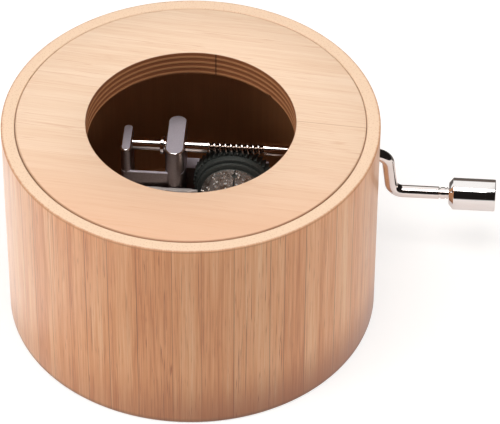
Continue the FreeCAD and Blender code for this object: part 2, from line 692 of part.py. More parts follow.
def crank_wire():
    """The bent stretch: out of the worm, through the wall, round two bends and into the handle's leg."""

    def at(x, z):
        return Vector(x, SHAFT_Y, z)

    half_sine = CRANK_BEND_RADIUS * math.sin(bend_rad / 2)
    half_drop = CRANK_BEND_RADIUS * (1 - math.cos(bend_rad / 2))
    start, bend, leg = at(worm_end_x, shaft_z), at(bend_x, shaft_z), at(leg_x, leg_z)
    arm_top, arm_foot = at(bend_x + bend_sine, shaft_z - bend_drop), at(leg_x - bend_sine, leg_z + bend_drop)
    runs = [
        Part.LineSegment(start, bend),
        Part.Arc(bend, at(bend_x + half_sine, shaft_z - half_drop), arm_top),
        Part.LineSegment(arm_top, arm_foot),
        Part.Arc(arm_foot, at(leg_x - half_sine, leg_z + half_drop), leg),
    ]
    path = Part.Wire([run.toShape() for run in runs])
    ring = Part.Wire(Part.makeCircle(SHAFT_RADIUS, start, Vector(1, 0, 0)))
    return path.makePipeShell([ring], True, False)


def handle_end():
    """The leg's straight end: a grooved neck, the spigot that the knob turns on, and its peened head."""
    groove = NECK_LENGTH / 6
    ring_radius, groove_radius = SHAFT_RADIUS - NECK_RING_DROP, SHAFT_RADIUS - NECK_GROOVE_DROP
    profile = [
        (leg_x, 0),
        (leg_x, SHAFT_RADIUS),
        (leg_end_x - LEG_EDGE, SHAFT_RADIUS),
        (leg_end_x, SHAFT_RADIUS - LEG_EDGE),
        (leg_end_x, groove_radius),
        (leg_end_x + groove, groove_radius),
        (leg_end_x + groove, ring_radius),
        (neck_end_x - 2 * groove, ring_radius),
        (neck_end_x - 2 * groove, groove_radius),
        (neck_end_x - groove, groove_radius),
        (neck_end_x - groove, ring_radius),
        (neck_end_x, ring_radius),
        (neck_end_x, spigot_radius),
        (head_start_x, spigot_radius),
        (head_start_x, spigot_head_radius),
        (head_end_x, spigot_head_radius),
        (head_end_x, 0),
    ]
    return turned_x(profile, SHAFT_Y, leg_z)


def crank_shaft():
    """One bent steel wire: thrust end, worm, run through the wall, two bends, handle leg and spigot."""
    left_x = thrust_hole_x + END_PLAY
    thrust_end = rod(SHAFT_RADIUS, (left_x, SHAFT_Y, shaft_z), (worm_start_x, SHAFT_Y, shaft_z))
    return thrust_end.fuse([worm(), crank_wire(), handle_end()]).removeSplitter()


def shaft_collar():
    """The ring pressed on the shaft that keeps it from being pulled out through the post."""
    right = shaft_post_x - SHAFT_POST_WIDTH / 2 - COLLAR_GAP
    left = right - COLLAR_WIDTH
    bore, outer = SHAFT_RADIUS + CLOSE_FIT, SHAFT_RADIUS + COLLAR_WALL
    profile = [
        (left, bore),
        (left, outer - COLLAR_EDGE),
        (left + COLLAR_EDGE, outer),
        (right - COLLAR_EDGE, outer),
        (right, outer - COLLAR_EDGE),
        (right, bore),
    ]
    return turned_x(profile, SHAFT_Y, shaft_z)


def crank_knob():
    """The turned handle knob, loose on its spigot: a coned nose, and a counterbore for the spigot's head."""
    bore = spigot_radius + RUNNING_FIT
    profile = [
        (knob_x, bore),
        (knob_x, KNOB_RADIUS - KNOB_NOSE_STEP),
        (knob_x + KNOB_NOSE_LENGTH, KNOB_RADIUS),
        (knob_end_x - KNOB_END_EDGE, KNOB_RADIUS),
        (knob_end_x, KNOB_RADIUS - KNOB_END_EDGE),
        (knob_end_x, knob_cap_radius),
        (head_seat_x, knob_cap_radius),
        (head_seat_x, bore),
    ]
    return turned_x(profile, SHAFT_Y, leg_z)


def knob_end_cap():
    """The disc pressed into the knob's outer end over the spigot's head."""
    return rod(knob_cap_radius - CLOSE_FIT, (knob_cap_x, SHAFT_Y, leg_z), (knob_cap_end_x, SHAFT_Y, leg_z))


PIECES = [
    case_tube,
    lid_ring,
    base_disc,
    movement_screws,
    bedplate,
    comb,
    comb_weights,
    comb_dampers,
    comb_screws,
    bearing_cap,
    bearing_cap_screws,
    drum_sleeve,
    worm_wheel,
    drum_end_plug,
    drum_arbor,
    crank_shaft,
    shaft_collar,
    crank_knob,
    knob_end_cap,
]


def main():
    os.makedirs("parts", exist_ok=True)
    for piece in PIECES:
        made = piece()
        shape = Part.makeCompound(made) if isinstance(made, list) else made
        shape.exportStep(f"parts/{piece.__name__}.step")
        facts = f"solids {len(shape.Solids)}, volume {shape.Volume:.1f}, valid {shape.isValid()}"
        print(piece.__name__, facts)


main()
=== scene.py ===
import json
import math

import bmesh
import bpy
import numpy as np
from mathutils import Matrix, Vector


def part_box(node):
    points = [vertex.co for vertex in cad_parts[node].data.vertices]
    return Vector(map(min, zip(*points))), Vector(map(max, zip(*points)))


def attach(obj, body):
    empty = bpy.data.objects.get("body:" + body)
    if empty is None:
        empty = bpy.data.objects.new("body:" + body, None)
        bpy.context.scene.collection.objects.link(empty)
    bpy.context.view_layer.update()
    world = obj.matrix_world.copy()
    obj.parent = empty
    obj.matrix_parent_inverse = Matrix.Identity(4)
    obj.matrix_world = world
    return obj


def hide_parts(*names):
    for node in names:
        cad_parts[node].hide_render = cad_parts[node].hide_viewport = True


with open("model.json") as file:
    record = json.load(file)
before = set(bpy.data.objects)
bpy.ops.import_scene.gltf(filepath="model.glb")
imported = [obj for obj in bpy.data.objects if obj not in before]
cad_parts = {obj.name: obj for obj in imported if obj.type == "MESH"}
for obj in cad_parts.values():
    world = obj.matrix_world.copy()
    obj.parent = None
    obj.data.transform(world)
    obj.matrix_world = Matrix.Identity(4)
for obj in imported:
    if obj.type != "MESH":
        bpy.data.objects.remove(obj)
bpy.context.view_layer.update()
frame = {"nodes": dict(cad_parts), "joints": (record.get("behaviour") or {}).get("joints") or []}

# Sizes that the solids were drawn with, in millimetres
MM = 0.001
CASE_WALL = 4.5
LEDGE_WIDTH = 1.8
FOOT_ROUND = 0.5
WINDOW_RADIUS = 20.7
LID_EDGE = 0.25
SHAFT_RADIUS = 1.3
HOLE_CLEARANCE = 1.2
DRUM_RADIUS = 6.4
DRUM_SHEET = 0.45
SEAM_WIDTH = 0.15
SEAM_EYE = 0.6
SEAM_TURN_DEG = 5.4
SEAM_MARGIN_DEG = 9.0
PLUG_DEPTH = 4.0
PLUG_LIP = 0.6
ARBOR_RADIUS = 1.0
PIN_FOOT = 0.44
PIN_HEIGHT = 0.5
PINS_PER_TRACK = 8
PIN_SPREAD = 0.381966
COMB_TEETH = 18
WORM_MODULE = 0.36
WORM_PITCH_RADIUS = 1.1
WORM_LENGTH = 11.7
WORM_SHIFT = 0.6
TOOTH_THICKNESS = 0.44
TOOTH_FLANK_DEG = 20.0
TOOTH_RISE = 0.30
TOOTH_FALL = 0.42
WHEEL_TEETH = 44
WHEEL_FRONT = 1.1
WHEEL_BACK = 1.6
WHEEL_RIM_STEP = 0.25
WHEEL_RIM_WIDTH = 1.25
WHEEL_GROOVE_DROP = 0.7
WHEEL_GROOVE_WIDTH = 0.4
WHEEL_FLANGE_DROP = 0.2
WHEEL_FLANGE_WIDTH = 0.6
WHEEL_NECK_DROP = 0.2
WHEEL_BOSS_RADIUS = 2.5
WEB_DROP = 4.05
WEB_SETBACK = 0.7
REAR_WALL_GAP = 0.45
REAR_WALL_RISE = 1.1
BEND_RADIUS = 2.6
BEND_DEG = 83.0
LEG_LENGTH = 7.5
NECK_LENGTH = 1.85
NECK_RING_DROP = 0.08
NECK_GROOVE_DROP = 0.25
NECK_GROOVES = ((0, 1 / 6), (4 / 6, 5 / 6))
SPIGOT_RADIUS = 1.0
KNOB_NOSE_LENGTH = 0.9
KNOB_NOSE_STEP = 1.1
KNOB_CAP_SEAT = 1.3
RUNNING_FIT = 0.06
CLOSE_FIT = 0.02
END_PLAY = 0.12

# Looks that the solids don't have: lengths in millimetres, angles in degrees
SOFT_EDGE = 0.15
RIM_EDGE = 0.3
COLLAR_EDGE = 0.22
SPIGOT_SHOWN = 2.0
PLY_PAIR = 1.30
LIGHT_PLY = 0.50
PLY_STEP = 0.06
PLY_BLUR = 0.05
PLY_JOINT_DEG = 80.5
CHIP_DEG = 44.8
CHIP_DEPTH = 0.5
CHIP_HALF_WIDTH = 0.4554
CHIP_HALF_HEIGHT = 0.45
CHIP_HALF_REACH = 0.5
STRIP = 5.6
SLIVER = 1.7
STRIP_SHIFT = 90.0
FOOT_SHADE = 15.0
LID_GRAIN_DEG = 6.0
# Painted shade on the lid's front: full in front of this Y, gone by the middle
LID_FRONT_SHADE = -36.0
GLUE_LINE_Y = 3.08
GLUE_LINE_FALL = 0.0764
GLUE_LINE_FADE = (18.0, 22.0)
BASE_GRAIN_DEG = 40.0
FLOOR_DROP = 0.05
FLOOR_RINGS = (0.0, 100.0, 400.0, 1600.0, 6000.0)
FLOOR_DARK_FROM = (36.0, 60.0)
FLOOR_BRIGHT_TO = (-44.0, -34.0)
LIGHT_COLOUR = (1.0, 0.985, 0.97)

# Camera of the photograph, in the image of 500 by 424
IMAGE_WIDTH = 500
IMAGE_HEIGHT = 424
FOCAL_PIXELS = 3460.2
SENSOR = 36.0
VIEW_AZIMUTH = 4.9
VIEW_ELEVATION = 42.90
VIEW_DISTANCE = 0.6991
VIEW_TARGET = Vector((0.0, 0.0, 0.0236))
TARGET_PIXEL = (191.6, 207.8)
VIEW_ROLL = 0.0086
VIEW_FAR = 50.0

# How finely the surfaces are divided
AROUND_CASE = 288
AROUND_KNOB = 96
AROUND_SMALL = 64
AROUND_PIN = 8
HOLE_MARGIN = 1.7
HOLE_ROWS = (3, 8, 4)
HOLE_RINGS = 4
HOLE_HALF_COLUMNS = 5
ROUND_STEPS = 9
CORNER_STEPS = 4
PLY_STEPS = 60
DRUM_STEPS = 240
DRUM_TURN_STEPS = 181
TOOTH_STEPS = 7
STRAIGHT_STEPS = 23
WORM_STEPS = 329
BEND_STEPS = 25
LEG_STEPS = 9
NECK_STEPS = 119
MERGE = 1e-7
COPY_MERGE = 2e-6
FLAT_DEG = 1.0
BEVEL_DEG = 40.0


# Places, read from the frame in millimetres
def box_mm(node):
    """The lowest and highest corner of a node of the solids."""
    low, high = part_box(node)
    return np.array(low) / MM, np.array(high) / MM


def axis_mm(name):
    """The point that a joint's axis goes through."""
    return next(np.array(joint["pos_m"]) / MM for joint in frame["joints"] if joint["name"] == name)


case_radius, _, case_height = box_mm("case_tube")[1]
bore_radius = case_radius - CASE_WALL
step_radius = bore_radius + LEDGE_WIDTH
base_top = box_mm("base_disc")[1][2]
lid_under = box_mm("lid_ring")[0][2]
lid_radius = box_mm("lid_ring")[1][0]
_, shaft_y, shaft_z = axis_mm("crank_turn")
drum_x, _, drum_z = axis_mm("drum_turn")
leg_z = axis_mm("knob_spin")[2]
drum_front_y = box_mm("drum_sleeve")[0][1]
drum_back_y = box_mm("drum_sleeve")[1][1]
comb_front_y = box_mm("comb")[0][1]
comb_rear_y = box_mm("comb")[1][1]
arbor_front_y = box_mm("drum_arbor")[0][1]
arbor_back_y = box_mm("drum_arbor")[1][1]
wheel_boss_y = box_mm("worm_wheel")[1][1]
post_top = box_mm("bedplate")[1][2]
wire_start_x = box_mm("crank_shaft")[0][0]
collar_low, collar_high = box_mm("shaft_collar")
knob_low, knob_high = box_mm("crank_knob")
cap_low, cap_high = box_mm("knob_end_cap")

hole_radius = SHAFT_RADIUS + HOLE_CLEARANCE
hole_margin = HOLE_MARGIN * hole_radius
plug_radius = DRUM_RADIUS - DRUM_SHEET - CLOSE_FIT
plug_bore = ARBOR_RADIUS + CLOSE_FIT
worm_pitch = math.pi * WORM_MODULE
worm_root = WORM_PITCH_RADIUS - TOOTH_FALL
worm_start_x = drum_x + WORM_SHIFT - WORM_LENGTH / 2
worm_end_x = worm_start_x + WORM_LENGTH
wheel_pitch_radius = WHEEL_TEETH * WORM_MODULE / 2
wheel_tip = wheel_pitch_radius + TOOTH_RISE
wheel_root = wheel_pitch_radius - TOOTH_FALL
flank = math.tan(math.radians(TOOTH_FLANK_DEG))
neck_end_x = knob_low[0] - END_PLAY
leg_end_x = neck_end_x - NECK_LENGTH
leg_x = leg_end_x - LEG_LENGTH
bend = math.radians(BEND_DEG)
arm_length = (shaft_z - leg_z - 2 * BEND_RADIUS * (1 - math.cos(bend))) / math.sin(bend)
bend_x = leg_x - 2 * BEND_RADIUS * math.sin(bend) - arm_length * math.cos(bend)


# Meshes from whole arrays
def grid_faces(rows, columns, wrap_rows=False, wrap_columns=False):
    """Quads of a grid of points: each joins a point, the next in its row, and the two beside them."""
    row = np.arange(rows if wrap_rows else rows - 1)
    column = np.arange(columns if wrap_columns else columns - 1)
    r, c = np.meshgrid(row, column, indexing="ij")
    r_next = (r + 1) % rows
    c_next = (c + 1) % columns
    corners = [r * columns + c, r * columns + c_next, r_next * columns + c_next, r_next * columns + c]
    return np.stack(corners, axis=-1).reshape(-1, 4)


def closed_shape(grid, wrap_rows=False):
    """Points and quads of a grid of points whose rows close on themselves, and its columns if asked."""
    return grid.reshape(-1, 3), grid_faces(*grid.shape[:2], wrap_rows, wrap_columns=True)


def round_edge(index):
    """The numbers round the edge of a grid, in order."""
    return np.concatenate([index[0, :-1], index[:-1, -1], index[-1, :0:-1], index[:0:-1, 0]])


def rounded(corners, radius):
    """A closed profile with eased corners: each corner becomes a quadratic curve between points on its
    two sides, a radius away from it or 45% of the side, whichever is less."""
    corner = np.array(corners, float)
    ends = []
    for neighbour in (1, -1):
        side = np.roll(corner, neighbour, axis=0) - corner
        length = np.linalg.norm(side, axis=1)[:, None]
        ends.append(corner + side * (np.minimum(radius, 0.45 * length) / length))
    first, middle, last = ends[0][:, None], corner[:, None], ends[1][:, None]
    t = np.linspace(0, 1, CORNER_STEPS + 1)[None, :, None]
    return ((1 - t) ** 2 * first + 2 * t * (1 - t) * middle + t**2 * last).reshape(-1, 2)


def steps_through(places, counts):
    """Equal steps from each place to the next, by a count for each stretch, up to the last place."""
    stretches = zip(places, places[1:], counts)
    parts = [np.linspace(start, end, count, endpoint=False) for start, end, count in stretches]
    return np.concatenate([*parts, places[-1:]])


def turned_grid(profile, centre, along, across, around):
    """A profile of (distance along the axis, radius) carried round an axis: centre plus distance along it
    plus radius times the unit circle of the two directions across it."""
    profile = np.array(profile, float)
    centre, along, across = (np.array(v, float) for v in (centre, along, across))
    aside = np.cross(along, across)
    angle = np.linspace(0, math.tau, around, endpoint=False)
    circle = np.cos(angle)[:, None] * across + np.sin(angle)[:, None] * aside
    return centre + profile[:, :1, None] * along + profile[:, 1:, None] * circle[None]


def turned(profile, centre, along, across, around=AROUND_SMALL):
    """Points and quads of a closed profile turned round an axis."""
    return closed_shape(turned_grid(profile, centre, along, across, around), wrap_rows=True)


def turned_on_case(profile, around):
    """A grid of a profile turned round the case's upright axis."""
    return turned_grid(profile, (0, 0, 0), (0, 0, 1), (1, 0, 0), around)


def turned_on_drum(profile):
    """A closed profile turned round the drum's axis."""
    return turned(profile, (drum_x, 0, drum_z), (0, 1, 0), (1, 0, 0))


def turned_on_shaft(profile, z, around=AROUND_SMALL):
    """A closed profile turned round a line along the shaft, at a height."""
    return turned(profile, (0, shaft_y, z), (1, 0, 0), (0, 0, 1), around)


def joined(*parts):
    """Several sets of points and quads as one set."""
    points = np.concatenate([part[0] for part in parts])
    starts = np.cumsum([0] + [len(part[0]) for part in parts[:-1]])
    faces = np.concatenate([part[1] + start for part, start in zip(parts, starts)])
    return points, faces


def mesh_of(name, shape, sharp_deg):
    """A mesh from points in millimetres and quads. Its seams and poles are merged and its faces turned
    outwards, and it is shaded smoothly except over edges sharper than the angle."""
    points, faces = shape
    mesh = bpy.data.meshes.new(name)
    mesh.from_pydata((points * MM).tolist(), [], faces.tolist())
    merged = bmesh.new()
    merged.from_mesh(mesh)
    bmesh.ops.remove_doubles(merged, verts=merged.verts, dist=MERGE)
    bmesh.ops.recalc_face_normals(merged, faces=merged.faces)
    merged.to_mesh(mesh)
    merged.free()
    mesh.shade_smooth()
    mesh.set_sharp_from_angle(angle=math.radians(sharp_deg))
    return mesh


def in_scene(name, data):
    """A new object in the scene."""
    thing = bpy.data.objects.new(name, data)
    bpy.context.scene.collection.objects.link(thing)
    return thing


def settle(name, mesh, material, body, node):
    """Puts a mesh into the scene as a piece that rides on a body and stands for a node."""
    thing = in_scene(name, mesh)
    mesh.materials.clear()
    mesh.materials.append(material)
    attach(thing, body)
    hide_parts(node)
    return thing


def piece(name, shape, material, body, node, sharp_deg=32):
    """A piece from points in millimetres and quads. It stands for one node, on that node's body."""
    settle(name, mesh_of(name, shape, sharp_deg), material, body, node)


def eased_copy(name, node, material, body, edge):
    """A node's own shape, merged and with its flat faces joined, and its sharp edges eased by a bevel."""
    mesh = frame["nodes"][node].data.copy()
    mesh.name = name
    shape = bmesh.new()
    shape.from_mesh(mesh)
    bmesh.ops.remove_doubles(shape, verts=shape.verts, dist=COPY_MERGE)
    limit = math.radians(FLAT_DEG)
    bmesh.ops.dissolve_limit(shape, angle_limit=limit, verts=shape.verts, edges=shape.edges)
    shape.to_mesh(mesh)
    shape.free()
    mesh.shade_smooth()
    thing = settle(name, mesh, material, body, node)
    bevel = thing.modifiers.new("eased edges", "BEVEL")
    bevel.width = edge * MM
    bevel.segments = 2
    bevel.limit_method = "ANGLE"
    bevel.angle_limit = math.radians(BEVEL_DEG)
    bevel.harden_normals = True


# Nodes of the materials
def plug(sockets, values):
    """Gives sockets their values, by name or number: a plain value, or the socket that feeds it."""
    for name, value in values.items():
        if isinstance(value, bpy.types.NodeSocket):
            value.id_data.links.new(value, sockets[name])
        else:
            sockets[name].default_value = value


def add(kind, inputs, tree=None, **settings):
    """One node with its settings and inputs. With no tree given, it goes where its inputs come from."""
    if tree is None:
        tree = next(value.id_data for value in inputs.values() if isinstance(value, bpy.types.NodeSocket))
    node = tree.nodes.new(kind)
    for name, value in settings.items():
        setattr(node, name, value)
    plug(node.inputs, inputs)
    return node


def calc(operation, *values, clamp=False):
    """A sum worked out by one Math node."""
    node = add("ShaderNodeMath", dict(enumerate(values)), operation=operation, use_clamp=clamp)
    return node.outputs[0]


def times(first, second):
    """Two values multiplied."""
    return calc("MULTIPLY", first, second)


def minus(first, second):
    """One value less another."""
    return calc("SUBTRACT", first, second)


def larger(first, second):
    """The larger of two values."""
    return calc("MAXIMUM", first, second)


def scaled(value, factor, rest, clamp=False):
    """A value times a factor, plus the rest."""
    return calc("MULTIPLY_ADD", value, factor, rest, clamp=clamp)


def band(value, low, high, start=0.0, end=1.0):
    """A smooth step of a value: start below low, end above high."""
    inputs = {"Value": value, 1: low, 2: high, 3: start, 4: end}
    return add("ShaderNodeMapRange", inputs, interpolation_type="SMOOTHSTEP").outputs[0]


def fade(value, low, high, start=1.0):
    """A smooth step down of a value: start below low, 0 above high."""
    return band(value, low, high, start, 0.0)


def near(value, place, inner, outer):
    """1 where a value is within the inner distance of a place, 0 beyond the outer one."""
    return fade(calc("ABSOLUTE", minus(value, place)), inner, outer)


def rgba(red, green, blue):
    """The linear colour that a socket holds, from the sRGB values that a picture shows."""
    shown = np.array([red, green, blue]) / 255
    linear = np.where(shown <= 0.04045, shown / 12.92, ((shown + 0.055) / 1.055) ** 2.4)
    return (*linear.tolist(), 1.0)


def blend(factor, first, second):
    """Two colours mixed by a factor."""
    return add("ShaderNodeMix", {0: factor, 6: first, 7: second}, data_type="RGBA").outputs[2]


def toned(factor, dark, light):
    """A colour between two tones, given as sRGB values."""
    return blend(factor, rgba(*dark), rgba(*light))


def tinted(colour, mask, tint, share=None):
    """A colour with a tint over it where a mask says, or by a share of the mask."""
    if share is not None:
        mask = times(mask, share)
    return blend(mask, colour, rgba(*tint))


def ramp(value, *stops):
    """A colour ramp. Each stop is a place from 0 to 1 and its colour."""
    node = add("ShaderNodeValToRGB", {"Fac": value})
    elements = node.color_ramp.elements
    while len(elements) < len(stops):
        elements.new(1.0)
    for element, (place, colour) in zip(elements, stops):
        element.position = place
        element.color = rgba(*colour)
    return node.outputs[0]


def noise(vector, scale, detail=3.0, roughness=0.55):
    """Cloudy noise from 0 to 1 over a vector."""
    inputs = {"Vector": vector, "Scale": scale, "Detail": detail, "Roughness": roughness}
    return add("ShaderNodeTexNoise", inputs).outputs[0]


def cells(inputs, output, dimensions="3D", feature="F1"):
    """One output of a Voronoi texture, whose cells lie at random."""
    node = add("ShaderNodeTexVoronoi", inputs, voronoi_dimensions=dimensions, feature=feature)
    return node.outputs[output]


def drawn_noise(across, along, wide, long, seed, detail=3.0):
    """Noise drawn out along the grain, by its turns per millimetre across and along. A seed moves it."""
    vector = vector_of(times(across, wide), times(along, long), seed)
    return noise(vector, 1.0, detail, roughness=0.6)


def vector_of(x, y, z):
    """A vector from three values."""
    return add("ShaderNodeCombineXYZ", {0: x, 1: y, 2: z}).outputs[0]


def split(vector):
    """The three values of a vector."""
    return add("ShaderNodeSeparateXYZ", {0: vector}).outputs


def millimetres(tree, turn_deg=0.0):
    """Object coordinates in millimetres, turned about the upright axis."""
    place = add("ShaderNodeTexCoord", {}, tree).outputs["Object"]
    turn = (0, 0, math.radians(turn_deg))
    mapping = {"Vector": place, "Rotation": turn, "Scale": (1 / MM, 1 / MM, 1 / MM)}
    return add("ShaderNodeMapping", mapping).outputs[0]


def distance_from_axis(x, y):
    """How far a point is from an axis, from its two distances across that axis."""
    flat = vector_of(x, y, 0.0)
    return add("ShaderNodeVectorMath", {0: flat}, operation="LENGTH").outputs["Value"]


def bump(height, depth, strength):
    """A bump whose heights are a share of a depth in millimetres."""
    inputs = {"Height": height, "Distance": depth * MM, "Strength": strength}
    return add("ShaderNodeBump", inputs).outputs[0]


def new_material(name):
    """An empty material and its tree, with the shader that its nodes will feed."""
    material = bpy.data.materials.new(name)
    material.use_nodes = True
    tree = material.node_tree
    tree.nodes.clear()
    shader = add("ShaderNodeBsdfPrincipled", {}, tree)
    add("ShaderNodeOutputMaterial", {"Surface": shader.outputs[0]})
    return material, tree, shader


# Effects that several materials share
def shared_group(name, inputs, fill):
    """A node group with inputs of some kinds. The fill function lays its nodes and names its outputs."""
    tree = bpy.data.node_groups.new(name, "ShaderNodeTree")
    for label, kind in inputs.items():
        tree.interface.new_socket(label, in_out="INPUT", socket_type=f"NodeSocket{kind}")
    given = fill(tree.nodes.new("NodeGroupInput").outputs)
    for label in given:
        tree.interface.new_socket(label, in_out="OUTPUT", socket_type="NodeSocketFloat")
    add("NodeGroupOutput", given)
    return tree


def placed(group, **inputs):
    """The outputs of a shared group that is placed in a material."""
    return add("ShaderNodeGroup", inputs, node_tree=group).outputs


def fill_fibres(taken):
    """Wood fibres: noise drawn out along the grain at three widths makes the tone. Lines are thin level
    curves of another such noise, shown in places, with short dashes of the fibre bundles between them."""
    across, along = taken["Across"], taken["Along"]
    fine = drawn_noise(across, along, wide=4.5, long=0.06, seed=0.0, detail=4.0)
    broad = drawn_noise(across, along, wide=1.3, long=0.022, seed=7.0)
    slow = drawn_noise(across, along, wide=0.35, long=0.010, seed=3.0, detail=2.0)
    levels = drawn_noise(across, along, wide=0.9, long=0.011, seed=12.0)
    bundles = drawn_noise(across, along, wide=3.6, long=0.13, seed=21.0, detail=2.0)
    thin = times(near(levels, 0.5, 0.003, 0.014), band(broad, 0.42, 0.56))
    dashes = times(band(bundles, 0.60, 0.72), 0.6)
    tone = scaled(slow, 0.25, scaled(fine, 0.40, times(broad, 0.35)))
    return {"Lines": larger(thin, dashes), "Tone": tone, "Height": fine}


def fill_handling(taken):
    """Handling: large soft smudges and fine specks that change a finish a little from place to place."""
    smudge = noise(taken["Vector"], scale=0.12)
    speck = noise(taken["Vector"], scale=2.6, detail=2.0)
    rough = scaled(minus(smudge, 0.5), taken["Spread"], taken["Roughness"])
    return {"Roughness": rough, "Smudge": smudge, "Speck": speck}


def fill_brushing(taken):
    """Tool marks and scratches: noise over stretched millimetres, so that it runs one way."""
    stretched = {0: taken["Vector"], 1: taken["Stretch"]}
    drawn = add("ShaderNodeVectorMath", stretched, operation="MULTIPLY").outputs[0]
    marks = noise(drawn, scale=1.0, detail=4.0, roughness=0.7)
    return {"Marks": marks, "Scratches": band(marks, 0.62, 0.74)}


fibres = shared_group("wood fibres", {"Across": "Float", "Along": "Float"}, fill_fibres)
handling_inputs = {"Vector": "Vector", "Roughness": "Float", "Spread": "Float"}
handling = shared_group("handling marks", handling_inputs, fill_handling)
brushing = shared_group("tool marks", {"Vector": "Vector", "Stretch": "Vector"}, fill_brushing)


def surface(name, paint, roughness, spread, turn_deg=0.0):
    """A material with handling marks. From them and the place in millimetres, the paint function lays its
    nodes and says what feeds the shader."""
    material, tree, shader = new_material(name)
    place = millimetres(tree, turn_deg)
    wear = placed(handling, Vector=place, Roughness=roughness, Spread=spread)
    plug(shader.inputs, paint(place, wear))
    return material


# Woods
def wall_colour(arc, x, z):
    """The wall's outside: upright strips of split bamboo and the slivers in them have their own tones,
    with fibres along them. Some joints between strips show as thin dark lines that fade in and out. The
    foot is browner with painted shade, strongest at the right, and darker still along its bottom edge."""
    by_strip, by_sliver = ({"W": arc, "Scale": 1 / width} for width in (STRIP, SLIVER))
    tones = split(cells(by_strip, "Color", "1D"))
    edge = cells(by_strip, "Distance", "1D", "DISTANCE_TO_EDGE")
    sliver_tones = split(cells(by_sliver, "Color", "1D"))
    grain = placed(fibres, Across=arc, Along=scaled(tones[0], STRIP_SHIFT, z))

    tone = scaled(tones[0], 0.30, times(sliver_tones[1], 0.20))
    tone = minus(scaled(grain["Tone"], 3.0, tone), 1.24)
    dark = ((0.12, (206, 132, 82)), (0.38, (228, 159, 108)))
    light = ((0.62, (238, 177, 128)), (0.92, (245, 196, 151)))
    colour = ramp(tone, *dark, *light)
    lined = times(grain["Lines"], scaled(tones[2], 0.5, 0.5))
    colour = tinted(colour, lined, (174, 100, 58))

    fading = band(drawn_noise(arc, z, wide=0.3, long=0.03, seed=31.0), 0.30, 0.50, 0.35, 1.0)
    shown = times(band(tones[1], 0.15, 0.3), fading)
    joint = times(fade(edge, 0.007, 0.022), shown)
    colour = tinted(colour, joint, (146, 86, 52), 0.72)
    # Painted shade: the foot is darker and browner, more so towards the right
    foot_shade_by_side = band(x, -case_radius, 0.65 * case_radius, 0.10, 0.80)
    painted_foot_shade = times(fade(z, 0.0, FOOT_SHADE), foot_shade_by_side)
    colour = tinted(colour, painted_foot_shade, (152, 82, 38))
    # Darker along the bottom edge
    bottom_edge_dark = fade(z, 0.4, 1.5, 0.45)
    return tinted(colour, bottom_edge_dark, (96, 62, 42)), grain, joint


def joint_shade(y, edge):
    """How dark the wood is near the lid's joint: less towards the back, where the joint is tight."""
    return times(edge, band(y, -0.6 * case_radius, 0.2 * case_radius, 0.65, 0.08))


def bamboo_wall(place, wear):
    """Strips of bamboo under a satin lacquer outside, pale end grain with the dots of the fibre bundles
    on the rim, darker by the lid's joint, and plain brown inside. The rim's outer edge has painted shade
    against the light it catches. The rim's edge and inside are bare."""
    x, y, z = split(place)
    turn = calc("ARCTAN2", x, times(y, -1.0))
    colour, grain, joint = wall_colour(times(turn, case_radius), x, z)

    dot = fade(cells({"Vector": place, "Scale": 1.5}, "Distance", "2D"), 0.10, 0.22)
    end_grain = tinted(rgba(246, 214, 184), dot, (206, 152, 108), 0.3)
    radius = distance_from_axis(x, y)
    by_joint = joint_shade(y, fade(radius, step_radius + 0.05, step_radius + 0.30))
    end_grain = tinted(end_grain, by_joint, (146, 92, 56))
    flat_edge = case_radius - RIM_EDGE
    ragged = scaled(grain["Tone"], -0.8, calc("ADD", radius, 0.4))
    on_end = fade(ragged, flat_edge - 0.20, flat_edge + 0.25)
    # The rim's rounded outer edge: painted shade in its colour, and no lacquer
    shaded_bare_edge = band(z, case_height - 2 * RIM_EDGE, case_height - RIM_EDGE)
    colour = tinted(colour, shaded_bare_edge, (196, 146, 114), 0.7)
    colour = blend(on_end, colour, end_grain)

    inside = fade(radius, bore_radius + 0.2, bore_radius + 0.6)
    plain = toned(grain["Tone"], (152, 100, 62), (192, 136, 90))
    bare = larger(inside, shaded_bare_edge)
    return {
        "Base Color": blend(inside, colour, plain),
        "Roughness": scaled(bare, 0.3, wear["Roughness"], clamp=True),
        "Coat Weight": scaled(bare, -0.6, 0.6),
        "Coat Roughness": 0.28,
        "Normal": bump(minus(grain["Height"], joint), depth=0.05, strength=0.5),
    }


def ply_colour(x, y, z):
    """The window's wall: light veneers between dark plies, scorched by the cut, and one upright joint."""
    depth = calc("DIVIDE", minus(case_height, z), PLY_PAIR)
    light_from = 1 - LIGHT_PLY / PLY_PAIR
    veneer = band(calc("FRACT", depth), light_from - 0.06, light_from + 0.06)
    arc = times(calc("ARCTAN2", y, x), WINDOW_RADIUS)
    scorch = drawn_noise(arc, z, wide=0.9, long=3.6, seed=0.0)
    ply = toned(veneer, (142, 86, 52), (190, 132, 88))
    ply = tinted(ply, scorch, (92, 50, 26), 0.35)
    joint = near(arc, WINDOW_RADIUS * math.radians(PLY_JOINT_DEG), 0.08, 0.22)
    return tinted(ply, joint, (44, 22, 11), 0.7)


